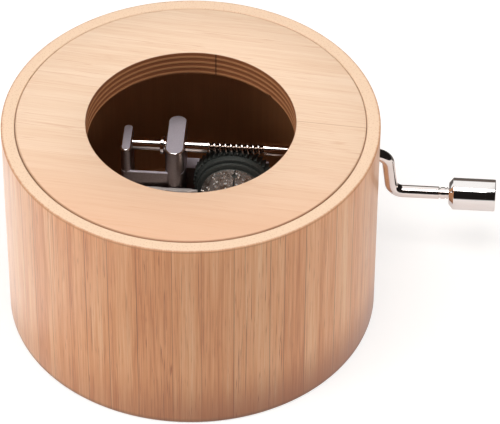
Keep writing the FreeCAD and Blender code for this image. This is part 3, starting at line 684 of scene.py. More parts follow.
def lid_wood(place, wear):
    """Pale straight-grained top: fine fibres a little off the crank's direction, one thin glue line right
    of the window, painted shade that makes it darker and warmer towards the front, and a darker edge.
    The window's wall shows the plies, and the underside is plain brown."""
    along, across, z = split(millimetres(place.id_data, LID_GRAIN_DEG))
    x, y, _ = split(place)
    sway = minus(drawn_noise(across, along, wide=0.05, long=0.03, seed=0.0), 0.5)
    swayed = scaled(sway, 1.5, across)
    grain = placed(fibres, Across=times(swayed, 0.8), Along=along)
    tones = ((0.34, (234, 194, 161)), (0.50, (244, 212, 183)), (0.66, (251, 223, 197)))
    colour = tinted(ramp(grain["Tone"], *tones), grain["Lines"], (214, 158, 116), 0.45)
    # Painted shade: darker and warmer towards the front
    colour = tinted(colour, fade(y, LID_FRONT_SHADE, 0.0, 0.76), (231, 180, 144))
    off_line = scaled(x, GLUE_LINE_FALL, y)
    line = times(near(off_line, GLUE_LINE_Y, 0.05, 0.16), band(x, *GLUE_LINE_FADE))
    colour = tinted(colour, line, (196, 142, 98), 0.55)

    radius = distance_from_axis(x, y)
    by_joint = joint_shade(y, band(radius, lid_radius - 0.42, lid_radius - 0.12))
    colour = tinted(colour, by_joint, (150, 96, 60))
    in_window = fade(radius, WINDOW_RADIUS + 0.10, WINDOW_RADIUS + 0.24)
    colour = blend(in_window, colour, ply_colour(x, y, z))
    underside = fade(z, lid_under + 0.05, lid_under + 0.2)
    height = scaled(grain["Lines"], -0.5, grain["Height"])
    return {
        "Base Color": tinted(colour, underside, (178, 124, 82)),
        "Roughness": scaled(in_window, 0.25, wear["Roughness"], clamp=True),
        "Normal": bump(height, depth=0.03, strength=0.4),
    }


def base_wood(place, wear):
    """Plain plywood: straight grain seen from below, a browner face inside the case."""
    along, across, z = split(place)
    grain = placed(fibres, Across=across, Along=along)
    colour = toned(grain["Tone"], (206, 160, 116), (236, 198, 156))
    colour = tinted(colour, grain["Lines"], (160, 110, 70), 0.5)
    return {
        "Base Color": tinted(colour, band(z, 1.2, 4.6), (172, 118, 76)),
        "Roughness": wear["Roughness"],
        "Normal": bump(grain["Height"], depth=0.05, strength=0.5),
    }


# Metals and plastics
def plain_metal(name, dark, light, roughness, stretch, depth, metallic=1.0):
    """A metal with tool marks one way, which change its colour and roughness and lift its surface."""

    def paint(place, wear):
        marks = placed(brushing, Vector=place, Stretch=stretch)
        return {
            "Base Color": toned(marks["Marks"], dark, light),
            "Roughness": scaled(marks["Scratches"], 0.12, wear["Roughness"], clamp=True),
            "Metallic": metallic,
            "Normal": bump(marks["Marks"], depth, strength=0.5),
        }

    return surface(name, paint, roughness, spread=0.17)


def zinc_casting(place, wear):
    """Die casting: the tops of the posts, the web and the rear wall are a pale matt grey as painted light
    on lit tops; the rest is a darker metallic grey as painted shade, with a painted highlight round the
    posts' tops."""
    _, y, z = split(place)
    skin = noise(place, scale=3.4, detail=4.0, roughness=0.65)
    # Painted shade: a darker metallic grey for the shaded sides
    plated = toned(skin, (116, 104, 100), (166, 152, 148))
    # Painted light: a pale grey for the lit tops
    ground = toned(skin, (206, 198, 208), (236, 228, 238))

    # Where the painted light goes: the tops of the posts, the web and the rear wall
    flat = band(z, post_top - 0.03, post_top - 0.01)
    web = (shaft_z - WEB_DROP, comb_rear_y + WEB_SETBACK)
    rear_wall = (drum_z + REAR_WALL_RISE, shaft_y + WHEEL_BACK + REAR_WALL_GAP)
    for height, front in (web, rear_wall):
        level = times(near(z, height, 0.10, 0.20), band(y, front - 0.1, front))
        flat = larger(flat, level)

    # Painted highlight: a near-white band just under the posts' tops
    painted_highlight_band = near(z, post_top - 0.14, 0.10, 0.16)
    rough = scaled(flat, 0.22, wear["Roughness"])
    return {
        "Base Color": blend(flat, tinted(plated, painted_highlight_band, (250, 246, 244)), ground),
        "Roughness": scaled(painted_highlight_band, -0.08, rough, clamp=True),
        "Metallic": scaled(flat, -0.8, 1.0),
        "Normal": bump(skin, depth=0.03, strength=0.5),
    }


def drum_steel(place, wear):
    """Rolled bright sheet, dented between its pins, with a warm tarnish in clouds, painted glints on the
    pin tips and in scattered spots, and a dark line along its seam."""
    x, _, z = split(place)
    aside, up = minus(x, drum_x), minus(z, drum_z)
    reach = distance_from_axis(aside, up)
    arc = times(calc("ARCTAN2", aside, up), DRUM_RADIUS)
    marks = placed(brushing, Vector=place, Stretch=(4.0, 0.5, 4.0))
    tarnish = noise(place, scale=0.7, detail=4.0, roughness=0.65)
    dents = noise(place, scale=1.6, detail=1.0)
    colour = toned(marks["Marks"], (212, 200, 188), (250, 243, 236))
    colour = tinted(colour, band(tarnish, 0.45, 0.65), (164, 140, 122))

    # Painted highlight: pale, less metallic pin tips stand in for their glints
    tip = band(reach, DRUM_RADIUS + 0.3 * PIN_HEIGHT, DRUM_RADIUS + 0.7 * PIN_HEIGHT)
    # Painted glints in scattered spots
    glint_spots = cells({"Vector": place, "Scale": 0.7}, "Distance")
    glint = larger(tip, fade(glint_spots, 0.12, 0.22))
    colour = tinted(colour, glint, (254, 251, 247))
    seam = near(arc, DRUM_RADIUS * math.radians(SEAM_TURN_DEG), 0.10, 0.24)
    return {
        "Base Color": tinted(colour, seam, (40, 30, 24), 0.85),
        "Roughness": scaled(glint, 0.16, wear["Roughness"], clamp=True),
        "Metallic": scaled(glint, -0.5, 0.78),
        "Normal": bump(scaled(marks["Marks"], 0.1, dents), depth=0.22, strength=0.9),
    }


def black_plastic(place, wear):
    """Black moulded plastic: a fine matt texture with a little dust."""
    skin = noise(place, scale=7.0, detail=2.0)
    return {
        "Base Color": toned(band(wear["Speck"], 0.45, 0.85), (70, 74, 71), (94, 99, 95)),
        "Roughness": wear["Roughness"],
        "Normal": bump(skin, depth=0.015, strength=0.5),
    }


def damper_film(place, wear):
    """Thin milky plastic strip with slight clouds."""
    return {
        "Base Color": toned(wear["Speck"], (214, 206, 184), (232, 226, 208)),
        "Roughness": wear["Roughness"],
        "Normal": bump(wear["Speck"], depth=0.01, strength=0.4),
    }


def thread_root_shade(place):
    """Where painted shade lies: in the roots of the worm's thread."""
    x, y, z = split(place)
    reach = distance_from_axis(minus(y, shaft_y), minus(z, shaft_z))
    deep = fade(reach, worm_root + 0.2 * TOOTH_FALL, WORM_PITCH_RADIUS, 0.85)
    middle, half = (worm_start_x + worm_end_x) / 2, WORM_LENGTH / 2
    return times(deep, near(x, middle, half - SOFT_EDGE, half))


def bright_plate(name, dark, light, roughness, shade_in_roots=None):
    """Bright plating with faint polishing marks and clouds, and painted brown shade where a function says.
    """

    def paint(place, wear):
        marks = placed(brushing, Vector=place, Stretch=(0.6, 9.0, 9.0))
        colour = toned(wear["Smudge"], dark, light)
        return {
            # Painted shade: brown in the thread's roots, where the function says
            "Base Color": tinted(colour, shade_in_roots(place), (92, 68, 48)) if shade_in_roots else colour,
            "Roughness": scaled(marks["Scratches"], 0.05, wear["Roughness"], clamp=True),
            "Metallic": 1.0,
            "Normal": bump(marks["Marks"], depth=0.002, strength=0.3),
        }

    return surface(name, paint, roughness, spread=0.06)


# Case
def wall_with_hole(radius, low, high):
    """A round wall with the crank hole. It is a grid of angle and height with a window left out round the
    hole. Rings pass in equal steps from the window's edge to the hole's circle, which is set out square
    to the shaft."""
    below, beside, above = HOLE_ROWS
    rings, half_columns = HOLE_RINGS, HOLE_HALF_COLUMNS
    angle = np.linspace(0, math.tau, AROUND_CASE, endpoint=False)
    hole_low, hole_high = shaft_z - hole_margin, shaft_z + hole_margin
    height = steps_through([low, hole_low, hole_high, high], [below, beside, above])
    first = int(math.asin(shaft_y / radius) / math.tau * AROUND_CASE) - half_columns
    last = first + 2 * half_columns + 1
    top = below + beside

    z, a = np.meshgrid(height, angle, indexing="ij")
    points = np.stack([a, z], axis=-1).reshape(-1, 2)
    index = np.arange(len(points)).reshape(z.shape)
    faces = grid_faces(*z.shape, wrap_columns=True).reshape(len(height) - 1, AROUND_CASE, 4)
    kept = np.ones(faces.shape[:2], bool)
    kept[below:top, first:last] = False
    faces = faces[kept]

    edge = round_edge(index[below : top + 1, first : last + 1])
    border = points[edge]
    turn = np.arctan2(radius * np.sin(border[:, 0]) - shaft_y, border[:, 1] - shaft_z)
    hole_y, hole_z = shaft_y + hole_radius * np.sin(turn), shaft_z + hole_radius * np.cos(turn)
    hole = np.stack([np.arcsin(hole_y / radius), hole_z], axis=-1)
    share = np.linspace(0, 1, rings + 1)[1:, None, None]
    between = (1 - share) * border + share * hole
    loops = np.concatenate([edge[None], len(points) + np.arange(rings * len(edge)).reshape(rings, -1)])
    ring_faces = loops.reshape(-1)[grid_faces(rings + 1, len(edge), wrap_columns=True)]

    polar = np.concatenate([points, between.reshape(-1, 2)])
    wall = np.stack([radius * np.cos(polar[:, 0]), radius * np.sin(polar[:, 0]), polar[:, 1]], axis=-1)
    return (wall, np.concatenate([faces, ring_faces])), wall[loops[-1]]


def case_wall():
    """The turned bamboo wall: the drilled outer and inner walls, the hole's sleeve between their circles,
    and the turned rim, steps and foot that join them. The rim and foot are quarter circles."""
    quarter = np.linspace(0, math.pi / 2, ROUND_STEPS)
    rim_z, rim = case_height - RIM_EDGE, case_radius - RIM_EDGE
    foot = case_radius - FOOT_ROUND
    outer, outer_hole = wall_with_hole(case_radius, FOOT_ROUND, rim_z)
    inner, inner_hole = wall_with_hole(bore_radius, base_top, lid_under)
    sleeve_points = np.concatenate([outer_hole, inner_hole])
    sleeve = (sleeve_points, grid_faces(2, len(outer_hole), wrap_columns=True))

    rim_arc = np.stack([rim_z + RIM_EDGE * np.sin(quarter), rim + RIM_EDGE * np.cos(quarter)], axis=-1)
    lid_step = [
        (case_height, step_radius + SOFT_EDGE),
        (case_height - SOFT_EDGE, step_radius),
        (lid_under, step_radius),
        (lid_under, bore_radius),
    ]
    foot_z = FOOT_ROUND - FOOT_ROUND * np.sin(quarter)
    foot_arc = np.stack([foot_z, foot + FOOT_ROUND * np.cos(quarter)], axis=-1)
    base_step = [(0.0, step_radius), (base_top, step_radius), (base_top, bore_radius)]
    ends = []
    for profile in (np.concatenate([rim_arc, lid_step]), np.concatenate([foot_arc, base_step])):
        ends.append(closed_shape(turned_on_case(profile, AROUND_CASE)))
    return joined(outer, inner, sleeve, *ends)


def lid():
    """The lid turned from its profile. Down the window's wall the light veneers stand proud of the dark
    plies by a smooth step. A chip is a bell-shaped dent in the wall's lower edge."""
    depth = np.linspace(LID_EDGE, case_height - lid_under - SOFT_EDGE, PLY_STEPS)
    in_pair = np.mod(depth, PLY_PAIR) / PLY_PAIR
    proud = np.clip((in_pair - (1 - LIGHT_PLY / PLY_PAIR)) / PLY_BLUR + 0.5, 0, 1)
    wall = np.stack([case_height - depth, WINDOW_RADIUS + PLY_STEP * (1 - proud)], axis=-1)
    eased_z = case_height - 0.3 * LID_EDGE
    top_in = [(case_height, WINDOW_RADIUS + LID_EDGE), (eased_z, WINDOW_RADIUS + 0.4 * LID_EDGE)]
    low = [(lid_under, WINDOW_RADIUS + SOFT_EDGE), (lid_under, lid_radius)]
    top_out = [
        (case_height - LID_EDGE, lid_radius),
        (eased_z, lid_radius - 0.3 * LID_EDGE),
        (case_height, lid_radius - LID_EDGE),
    ]
    profile = np.concatenate([top_in, wall, low, top_out])
    grid = turned_on_case(profile, 2 * AROUND_CASE)

    turn = np.arctan2(grid[..., 1], grid[..., 0]) - math.radians(CHIP_DEG)
    aside = turn * WINDOW_RADIUS / CHIP_HALF_WIDTH
    above = (grid[..., 2] - lid_under) / CHIP_HALF_HEIGHT
    reach = np.hypot(grid[..., 0], grid[..., 1])
    beside = (reach - WINDOW_RADIUS) / CHIP_HALF_REACH
    dent = CHIP_DEPTH * np.exp(-(aside**2) - above**2 - beside**2)
    grid[..., :2] *= (1 + dent / reach)[..., None]
    return closed_shape(grid, wrap_rows=True)


# Drum
def round_drum(radius, angle, y):
    """Points at a radius and an angle round the drum's axis, counted from the top towards the crank."""
    return np.stack([drum_x + radius * np.sin(angle), y, drum_z + radius * np.cos(angle)], axis=-1)


def track_y(tooth):
    """Where a comb tooth and its track on the drum have their middle."""
    return comb_rear_y - (tooth + 0.5) * (comb_rear_y - comb_front_y) / COMB_TEETH


def drum_sheet():
    """The rolled sheet: a grid of length and angle on the outer and the inner radius, closed along its
    edges. The angle runs from one edge of the seam to the other, and the edges stand back by a circle
    round the eye."""
    length = np.linspace(drum_front_y, drum_back_y, DRUM_STEPS)
    eye = np.sqrt(np.clip(SEAM_EYE**2 - (length - track_y(0)) ** 2, 0, None))
    half = np.maximum(SEAM_WIDTH / 2, eye)[:, None] / DRUM_RADIUS
    share = np.linspace(0, 1, DRUM_TURN_STEPS)[None]
    angle = math.radians(SEAM_TURN_DEG) + half + share * (math.tau - 2 * half)
    y = np.broadcast_to(length[:, None], angle.shape)
    outer = round_drum(DRUM_RADIUS, angle, y).reshape(-1, 3)
    inner = round_drum(DRUM_RADIUS - DRUM_SHEET, angle, y).reshape(-1, 3)
    faces = grid_faces(*angle.shape)
    loop = round_edge(np.arange(angle.size).reshape(angle.shape))
    edge = np.concatenate([loop, loop + angle.size])[grid_faces(2, len(loop), wrap_columns=True)]
    return np.concatenate([outer, inner]), np.concatenate([faces, faces + angle.size, edge])


def drum_pins():
    """Every pin of the drum: one small turned cone with a rounded tip, set square to the drum. The angles
    step on by a golden share of the arc that is clear of the seam."""
    height = np.array([-0.2, 0.0, 0.44, 0.80, 0.94, 1.0]) * PIN_HEIGHT
    width = np.array([1.0, 1.0, 0.84, 0.70, 0.50, 0.0]) * PIN_FOOT / 2
    turn = np.linspace(0, math.tau, AROUND_PIN, endpoint=False)
    up = np.repeat(height, AROUND_PIN)
    across = np.outer(width, np.cos(turn)).reshape(-1)
    along = np.outer(width, np.sin(turn)).reshape(-1)
    number = np.arange(COMB_TEETH * PINS_PER_TRACK)
    spread = np.mod(PIN_SPREAD * number, 1) * (360 - 2 * SEAM_MARGIN_DEG)
    angle = np.radians(SEAM_TURN_DEG + SEAM_MARGIN_DEG + spread)[:, None]
    y = track_y(number // PINS_PER_TRACK)[:, None] + along
    foot = round_drum(DRUM_RADIUS + up, angle, y)
    aside = np.stack([np.cos(angle), 0 * angle, -np.sin(angle)], axis=-1)
    points = foot + across[None, :, None] * aside
    cell = grid_faces(len(height), AROUND_PIN, wrap_columns=True)
    faces = cell[None] + (number * len(up))[:, None, None]
    return points.reshape(-1, 3), faces.reshape(-1, 4)


def wheel_profile(front_y):
    """The wheel's turned steps along the drum's axis, before and after its teeth: plug, neck, flange,
    groove and rim, then the boss."""
    rim_y = front_y - WHEEL_RIM_WIDTH
    groove_y = rim_y - WHEEL_GROOVE_WIDTH
    flange_y = groove_y - WHEEL_FLANGE_WIDTH
    plug_y, neck = drum_back_y - PLUG_DEPTH, DRUM_RADIUS - WHEEL_NECK_DROP
    rim, groove = wheel_root + WHEEL_RIM_STEP, wheel_root - WHEEL_GROOVE_DROP
    flange = wheel_root - WHEEL_FLANGE_DROP
    soft, softer = 0.3 * SOFT_EDGE, SOFT_EDGE
    before = [(plug_y, plug_bore), (plug_y, plug_radius), (drum_back_y, plug_radius)]
    before += [(drum_back_y, neck), (flange_y, neck)]
    before += [(flange_y, flange - softer), (flange_y + soft, flange - soft), (flange_y + softer, flange)]
    before += [(groove_y - soft, flange), (groove_y, flange - soft), (groove_y, groove), (rim_y, groove)]
    before += [(rim_y, rim - softer), (rim_y + soft, rim - soft), (rim_y + softer, rim)]
    before += [(front_y - soft, rim), (front_y, rim - soft)]
    back_y = shaft_y + WHEEL_BACK
    after = [(back_y, WHEEL_BOSS_RADIUS), (wheel_boss_y, WHEEL_BOSS_RADIUS), (wheel_boss_y, plug_bore)]
    return np.array(before), np.array(after)


def wheel():
    """The moulded wheel: a profile along the drum's axis carried round it. Each tooth has a root, an
    eased corner and a flat on both sides of its middle, and the teeth turn on along the axis with the
    worm's lead."""
    half_tip = (TOOTH_THICKNESS / 2 - TOOTH_RISE * flank) / wheel_tip
    half_root = (TOOTH_THICKNESS / 2 + TOOTH_FALL * flank) / wheel_root
    side = np.array([half_root, 0.25 * half_root + 0.75 * half_tip, 0.8 * half_tip])
    side_height = np.array([0.0, 0.8, 1.0])
    offset = np.concatenate([-side, side[::-1]])
    height = np.concatenate([side_height, side_height[::-1]])
    middle = math.tau * (np.arange(WHEEL_TEETH) + 0.5) / WHEEL_TEETH
    angle = (middle[:, None] + offset).reshape(-1)
    teeth = wheel_root + (wheel_tip - wheel_root) * np.tile(height, WHEEL_TEETH)

    front_y, back_y = shaft_y - WHEEL_FRONT, shaft_y + WHEEL_BACK
    before, after = wheel_profile(front_y)
    station = np.linspace(front_y, back_y, TOOTH_STEPS)
    y = np.concatenate([before[:, 0], station, after[:, 0]])[:, None]
    radius = np.concatenate(
        [
            np.broadcast_to(before[:, 1:], (len(before), len(angle))),
            np.broadcast_to(teeth, (len(station), len(angle))),
            np.broadcast_to(after[:, 1:], (len(after), len(angle))),
        ]
    )
    lead = worm_pitch / (math.tau * WORM_PITCH_RADIUS) / wheel_pitch_radius
    twist = lead * (np.clip(y, front_y, back_y) - shaft_y)
    points = round_drum(radius, angle + twist, np.broadcast_to(y, radius.shape))
    return closed_shape(points, wrap_rows=True)


def drum_plug():
    """The plug in the drum's front end, turned from an eased profile."""
    lip_y, end_y = drum_front_y - PLUG_LIP, drum_front_y + PLUG_DEPTH
    lip = [(lip_y, plug_bore), (lip_y, DRUM_RADIUS), (drum_front_y, DRUM_RADIUS)]
    plug_end = [(drum_front_y, plug_radius), (end_y, plug_radius), (end_y, plug_bore)]
    return turned_on_drum(rounded(lip + plug_end, SOFT_EDGE))


def arbor():
    """The arbor, turned with small chamfers."""
    front, back, small = arbor_front_y, arbor_back_y, ARBOR_RADIUS - END_PLAY
    end_in = [(front, 0), (front, small), (front + END_PLAY, ARBOR_RADIUS)]
    end_out = [(back - END_PLAY, ARBOR_RADIUS), (back, small), (back, 0)]
    return turned_on_drum(end_in + end_out)


# Crank
def crank_path():
    """The wire's middle line in the plane through the shaft: straight through the worm and the wall, an
    arc down, a straight arm, an arc back and the straight leg. Gives each station's X, Z and heading."""
    turn = np.linspace(0, bend, BEND_STEPS)
    arc_x, arc_z = BEND_RADIUS * np.sin(turn), BEND_RADIUS * (1 - np.cos(turn))
    straight = [wire_start_x, worm_start_x, worm_end_x, bend_x]
    start = steps_through(straight, [STRAIGHT_STEPS, WORM_STEPS, STRAIGHT_STEPS])[:-1]
    soft_x = leg_end_x - 2 * SOFT_EDGE
    leg = steps_through([leg_x, soft_x, neck_end_x + SPIGOT_SHOWN], [LEG_STEPS, NECK_STEPS])[1:]
    x = np.concatenate([start, bend_x + arc_x, leg_x - arc_x[::-1], leg])
    z = np.concatenate([0 * start + shaft_z, shaft_z - arc_z, leg_z + arc_z[::-1], 0 * leg + leg_z])
    heading = np.concatenate([0 * start, turn, turn[::-1], 0 * leg])
    return x, z, heading


def crank_radius(x, turn):
    """The wire's radius by station and turn. On the worm it is a flat-topped wave whose crest moves round
    once for each pitch. The leg's end is rounded, and the neck before the spigot has two grooves."""
    radius = np.full((len(x), len(turn)), SHAFT_RADIUS)
    phase = (x[:, None] - drum_x) / worm_pitch - turn[None] / math.tau
    from_crest = np.abs(np.mod(phase + 0.5, 1) - 0.5) * worm_pitch
    root_half = TOOTH_THICKNESS / 2 + TOOTH_FALL * flank
    share = np.clip((root_half - from_crest) / ((TOOTH_RISE + TOOTH_FALL) * flank), 0, 1)
    thread = worm_root + (TOOTH_RISE + TOOTH_FALL) * share
    on_worm = (x > worm_start_x + CLOSE_FIT) & (x < worm_end_x - CLOSE_FIT)
    radius[on_worm] = thread[on_worm]
    neck = (x - leg_end_x) / NECK_LENGTH
    groove = np.any([(neck > low) & (neck < high) for low, high in NECK_GROOVES], axis=0)
    radius[neck > 0] = SHAFT_RADIUS - NECK_RING_DROP
    radius[groove] = SHAFT_RADIUS - NECK_GROOVE_DROP
    radius[neck > 1] = SPIGOT_RADIUS
    into_end = np.clip((x - (leg_end_x - SOFT_EDGE)) / SOFT_EDGE, 0, 1) * (neck <= 0)
    return radius - (SOFT_EDGE * (1 - np.sqrt(1 - into_end**2)))[:, None]


def crank():
    """The bent wire: at each station of its path a ring square to the path, closed by a point at each
    end."""
    x, z, heading = crank_path()
    turn = np.linspace(0, math.tau, AROUND_SMALL, endpoint=False)
    radius = crank_radius(x, turn)
    down, side = radius * np.cos(turn), radius * np.sin(turn)
    ring_x = x[:, None] - down * np.sin(heading)[:, None]
    ring_z = z[:, None] - down * np.cos(heading)[:, None]
    grid = np.stack([ring_x, shaft_y + side, ring_z], axis=-1)
    first, last = (np.broadcast_to((x[end], shaft_y, z[end]), grid[:1].shape) for end in (0, -1))
    grid = np.concatenate([first, grid, last])
    return closed_shape(grid)


def collar():
    """The ring on the shaft, turned from an eased profile."""
    left, right = collar_low[0], collar_high[0]
    bore, outer = SHAFT_RADIUS + CLOSE_FIT, collar_high[2] - shaft_z
    corners = [(left, bore), (left, outer), (right, outer), (right, bore)]
    return turned_on_shaft(rounded(corners, COLLAR_EDGE), shaft_z)


def knob():
    """The handle's knob, turned from an eased profile: coned nose, straight body, and the seat of the end
    disc."""
    start, end, radius = knob_low[0], knob_high[0], knob_high[2] - leg_z
    bore, seat = SPIGOT_RADIUS + RUNNING_FIT, cap_high[2] - leg_z + CLOSE_FIT
    nose = [(start, bore), (start, radius - KNOB_NOSE_STEP), (start + KNOB_NOSE_LENGTH, radius)]
    back = [(end, radius), (end, seat), (end - KNOB_CAP_SEAT, seat), (end - KNOB_CAP_SEAT, bore)]
    return turned_on_shaft(rounded(nose + back, SOFT_EDGE), leg_z, AROUND_KNOB)


def knob_cap():
    """The disc in the knob's end, turned with an eased edge."""
    start, end, radius = cap_low[0], cap_high[0], cap_high[2] - leg_z
    eased = (end - 0.25 * END_PLAY, radius - 0.4 * END_PLAY)
    edge = [(end - END_PLAY, radius), eased, (end, radius - END_PLAY)]
    return turned_on_shaft([(start, 0), (start, radius)] + edge + [(end, 0)], leg_z)


# Stage
def floor():
    """A wide pale disc under the box. The camera and reflections see it with a glow of its own, and it
    keeps shadows. In reflections it is warmer, brighter at the left, and dark behind the box."""
    rings = [(-FLOOR_DROP, radius) for radius in FLOOR_RINGS]
    shape = closed_shape(turned_on_case(rings, AROUND_KNOB))
    thing = in_scene("floor", mesh_of("floor", shape, sharp_deg=30))

    material, tree, shader = new_material("pale floor")
    path = add("ShaderNodeLightPath", {}, tree).outputs
    direct = larger(path["Is Camera Ray"], path["Is Transmission Ray"])
    x, y, _ = split(millimetres(tree))
    behind = band(y, *FLOOR_DARK_FROM)
    at_left = fade(x, *FLOOR_BRIGHT_TO)
    black = (0.0, 0.0, 0.0, 1.0)
    reflected = blend(at_left, (0.41, 0.36, 0.355, 1.0), (0.85, 0.84, 0.84, 1.0))
    reflected = blend(behind, reflected, black)
    glow = blend(path["Is Glossy Ray"], black, reflected)
    dark_behind = times(path["Is Glossy Ray"], behind)
    sockets = {
        "Base Color": blend(dark_behind, (0.45, 0.435, 0.42, 1.0), (0.10, 0.09, 0.085, 1.0)),
        "Roughness": 0.9,
        "Emission Color": blend(direct, glow, (0.66, 0.66, 0.66, 1.0)),
        "Emission Strength": 1.0,
    }
    plug(shader.inputs, sockets)
    thing.data.materials.append(material)


def background(tree, colour, strength):
    """One plain light of the surroundings."""
    return add("ShaderNodeBackground", {"Color": colour, "Strength": strength}, tree).outputs[0]


def either(factor, first, second):
    """Two lights of the surroundings mixed by a factor."""
    return add("ShaderNodeMixShader", {0: factor, 1: first, 2: second}).outputs[0]


def surroundings():
    """The studio round the box: white to the camera. Its soft light is weaker from the front. Reflections
    see a white room with a dark side in front of the box, another at the right, and a brown strip low at
    the back."""
    world = bpy.data.worlds.new("studio")
    bpy.context.scene.world = world
    world.use_nodes = True
    tree = world.node_tree
    tree.nodes.clear()
    ray = add("ShaderNodeTexCoord", {}, tree).outputs["Generated"]
    x, y, z = split(ray)
    to_front = Vector((0.0, -0.81, 0.59)).normalized()
    aim = add("ShaderNodeVectorMath", {0: ray, 1: to_front}, operation="DOT_PRODUCT")
    front = band(aim.outputs["Value"], 0.79, 0.88)
    right = band(x, 0.12, 0.22)
    low_back = times(fade(z, 0.40, 0.55), band(y, 0.2, 0.5))
    low_back = times(low_back, band(x, -0.6, -0.3))
    room = blend(low_back, (1.0, 0.98, 0.97, 1.0), (0.14, 0.11, 0.095, 1.0))
    room = blend(larger(front, right), room, (0.012, 0.010, 0.009, 1.0))

    path = add("ShaderNodeLightPath", {}, tree).outputs
    soft = background(tree, (*LIGHT_COLOUR, 1.0), scaled(y, 0.04, 0.31))
    seen = either(path["Is Glossy Ray"], soft, background(tree, room, 1.0))
    clear = larger(path["Is Camera Ray"], path["Is Transmission Ray"])
    seen = either(clear, seen, background(tree, (1, 1, 1, 1), 1.0))
    add("ShaderNodeOutputWorld", {"Surface": seen})


def lamp(name, place, size, power, mirrored=False):
    """A soft lamp that faces the box. Unless it is mirrored, reflections show the room in its place."""
    light = bpy.data.lights.new(name, "AREA")
    light.shape = "RECTANGLE"
    light.size, light.size_y = size
    light.energy = power
    light.color = LIGHT_COLOUR
    thing = in_scene(name, light)
    thing.location = place
    thing.rotation_euler = (VIEW_TARGET - Vector(place)).to_track_quat("-Z", "Y").to_euler()
    thing.visible_glossy = mirrored


def camera():
    """The camera of the photograph. It stands at the view's angles and distance from the target, turns so
    that the target falls on its pixel, and leans by the roll. No shift is used."""
    azimuth, elevation = math.radians(VIEW_AZIMUTH), math.radians(VIEW_ELEVATION)
    level = math.cos(elevation)
    way = Vector((math.sin(azimuth) * level, -math.cos(azimuth) * level, math.sin(elevation)))
    place = VIEW_TARGET + way * VIEW_DISTANCE
    right = Vector((math.cos(azimuth), math.sin(azimuth), 0))
    up = way.cross(right)
    leaned_right = right * math.cos(VIEW_ROLL) - up * math.sin(VIEW_ROLL)
    leaned_up = up * math.cos(VIEW_ROLL) + right * math.sin(VIEW_ROLL)
    aside = (IMAGE_WIDTH / 2 - TARGET_PIXEL[0]) / FOCAL_PIXELS
    below = (IMAGE_HEIGHT / 2 - TARGET_PIXEL[1]) / FOCAL_PIXELS
    ahead = (-way + leaned_right * aside - leaned_up * below).normalized()
    across = ahead.cross(leaned_up).normalized()
    upright = across.cross(ahead)
    turned_axes = Matrix((across, upright, -ahead)).transposed()
    view = bpy.data.cameras.new("camera")
    view.sensor_width = SENSOR
    view.lens = FOCAL_PIXELS / IMAGE_WIDTH * SENSOR
    view.clip_end = VIEW_FAR
    thing = in_scene("camera", view)
    thing.matrix_world = Matrix.Translation(place) @ turned_axes.to_4x4()
    bpy.context.scene.camera = thing


# Materials of the object
wall_bamboo = surface("bamboo wall", bamboo_wall, roughness=0.36, spread=0.16)
pale_lid = surface("lid wood", lid_wood, roughness=0.50, spread=0.14)
plate_nickel = bright_plate("nickel plate", (238, 230, 225), (247, 241, 237), 0.11, thread_root_shade)
plate_chrome = bright_plate("chrome plate", (242, 239, 237), (252, 250, 248), 0.07)
cast_zinc = surface("zinc casting", zinc_casting, roughness=0.34, spread=0.22)
sheet_steel = surface("drum steel", drum_steel, roughness=0.24, spread=0.2)
moulded_black = surface("black plastic", black_plastic, roughness=0.36, spread=0.2)
ground_steel = plain_metal(
    "ground steel", (150, 148, 146), (206, 204, 201), roughness=0.26, stretch=(6, 0.4, 6), depth=0.01
)
spring_steel = plain_metal(
    "spring steel", (224, 216, 212), (250, 244, 240), 0.30, stretch=(5, 0.3, 5), depth=0.012, metallic=0.35
)
plated_steel = plain_metal(
    "plated screws", (160, 158, 154), (206, 203, 198), roughness=0.32, stretch=(3, 3, 3), depth=0.012
)
dull_lead = plain_metal(
    "dull lead", (78, 78, 82), (112, 112, 116), roughness=0.62, stretch=(2, 2, 2), depth=0.04
)
milky_film = surface("damper film", damper_film, roughness=0.4, spread=0.2)
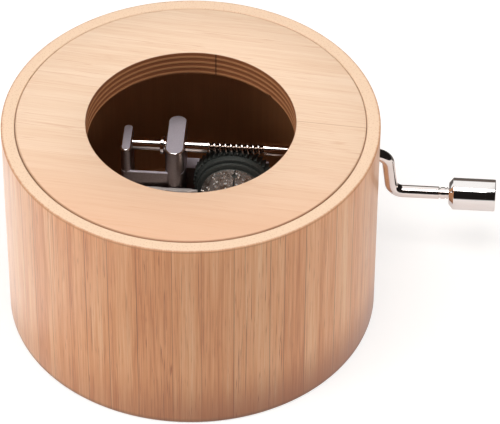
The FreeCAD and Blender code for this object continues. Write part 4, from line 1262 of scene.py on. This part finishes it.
plain_base = surface("base wood", base_wood, roughness=0.58, spread=0.18, turn_deg=BASE_GRAIN_DEG)

# Pieces of the object
drum_shape = joined(drum_sheet(), drum_pins())
piece("bamboo_case", case_wall(), wall_bamboo, "case", "case_tube")
piece("window_lid", lid(), pale_lid, "case", "lid_ring", sharp_deg=40)
frame["nodes"]["base_disc"].data.materials.clear()
frame["nodes"]["base_disc"].data.materials.append(plain_base)
piece("pinned_drum", drum_shape, sheet_steel, "drum", "drum_sleeve", sharp_deg=38)
piece("drum_wheel", wheel(), moulded_black, "drum", "worm_wheel", sharp_deg=30)
piece("drum_front_plug", drum_plug(), moulded_black, "drum", "drum_end_plug")
piece("drum_axle", arbor(), ground_steel, "drum", "drum_arbor")
piece("crank_wire", crank(), plate_nickel, "crank", "crank_shaft", sharp_deg=40)
piece("collar_ring", collar(), plate_nickel, "crank", "shaft_collar")
piece("handle_knob", knob(), plate_chrome, "knob", "crank_knob")
piece("handle_disc", knob_cap(), plate_chrome, "knob", "knob_end_cap")
for name, node, material, slot, edge in (
    ("cast_bed", "bedplate", cast_zinc, "zinc_casting", 0.28),
    ("steel_comb", "comb", spring_steel, "comb_steel", 0.05),
    ("front_strap", "bearing_cap", ground_steel, "arbor_steel", 0.10),
    ("bed_screws", "movement_screws", plated_steel, "screw_steel", 0.08),
    ("comb_bolts", "comb_screws", plated_steel, "screw_steel", 0.08),
    ("strap_screws", "bearing_cap_screws", plated_steel, "screw_steel", 0.05),
    ("tuning_leads", "comb_weights", dull_lead, "lead", 0.06),
    ("damper_strips", "comb_dampers", milky_film, "damper_film", 0.03),
):
    eased_copy(name, node, material, "case", edge)

# The stage
bpy.context.scene.view_settings.view_transform = "Standard"
floor()
surroundings()
lamp("overhead", place=(-0.05, -0.20, 0.90), size=(0.5, 0.36), power=3.6, mirrored=True)
lamp("left", place=(-0.80, -0.35, 0.45), size=(0.5, 0.5), power=4.2)
lamp("right", place=(0.85, -0.05, 0.45), size=(0.5, 0.5), power=3.4)
camera()
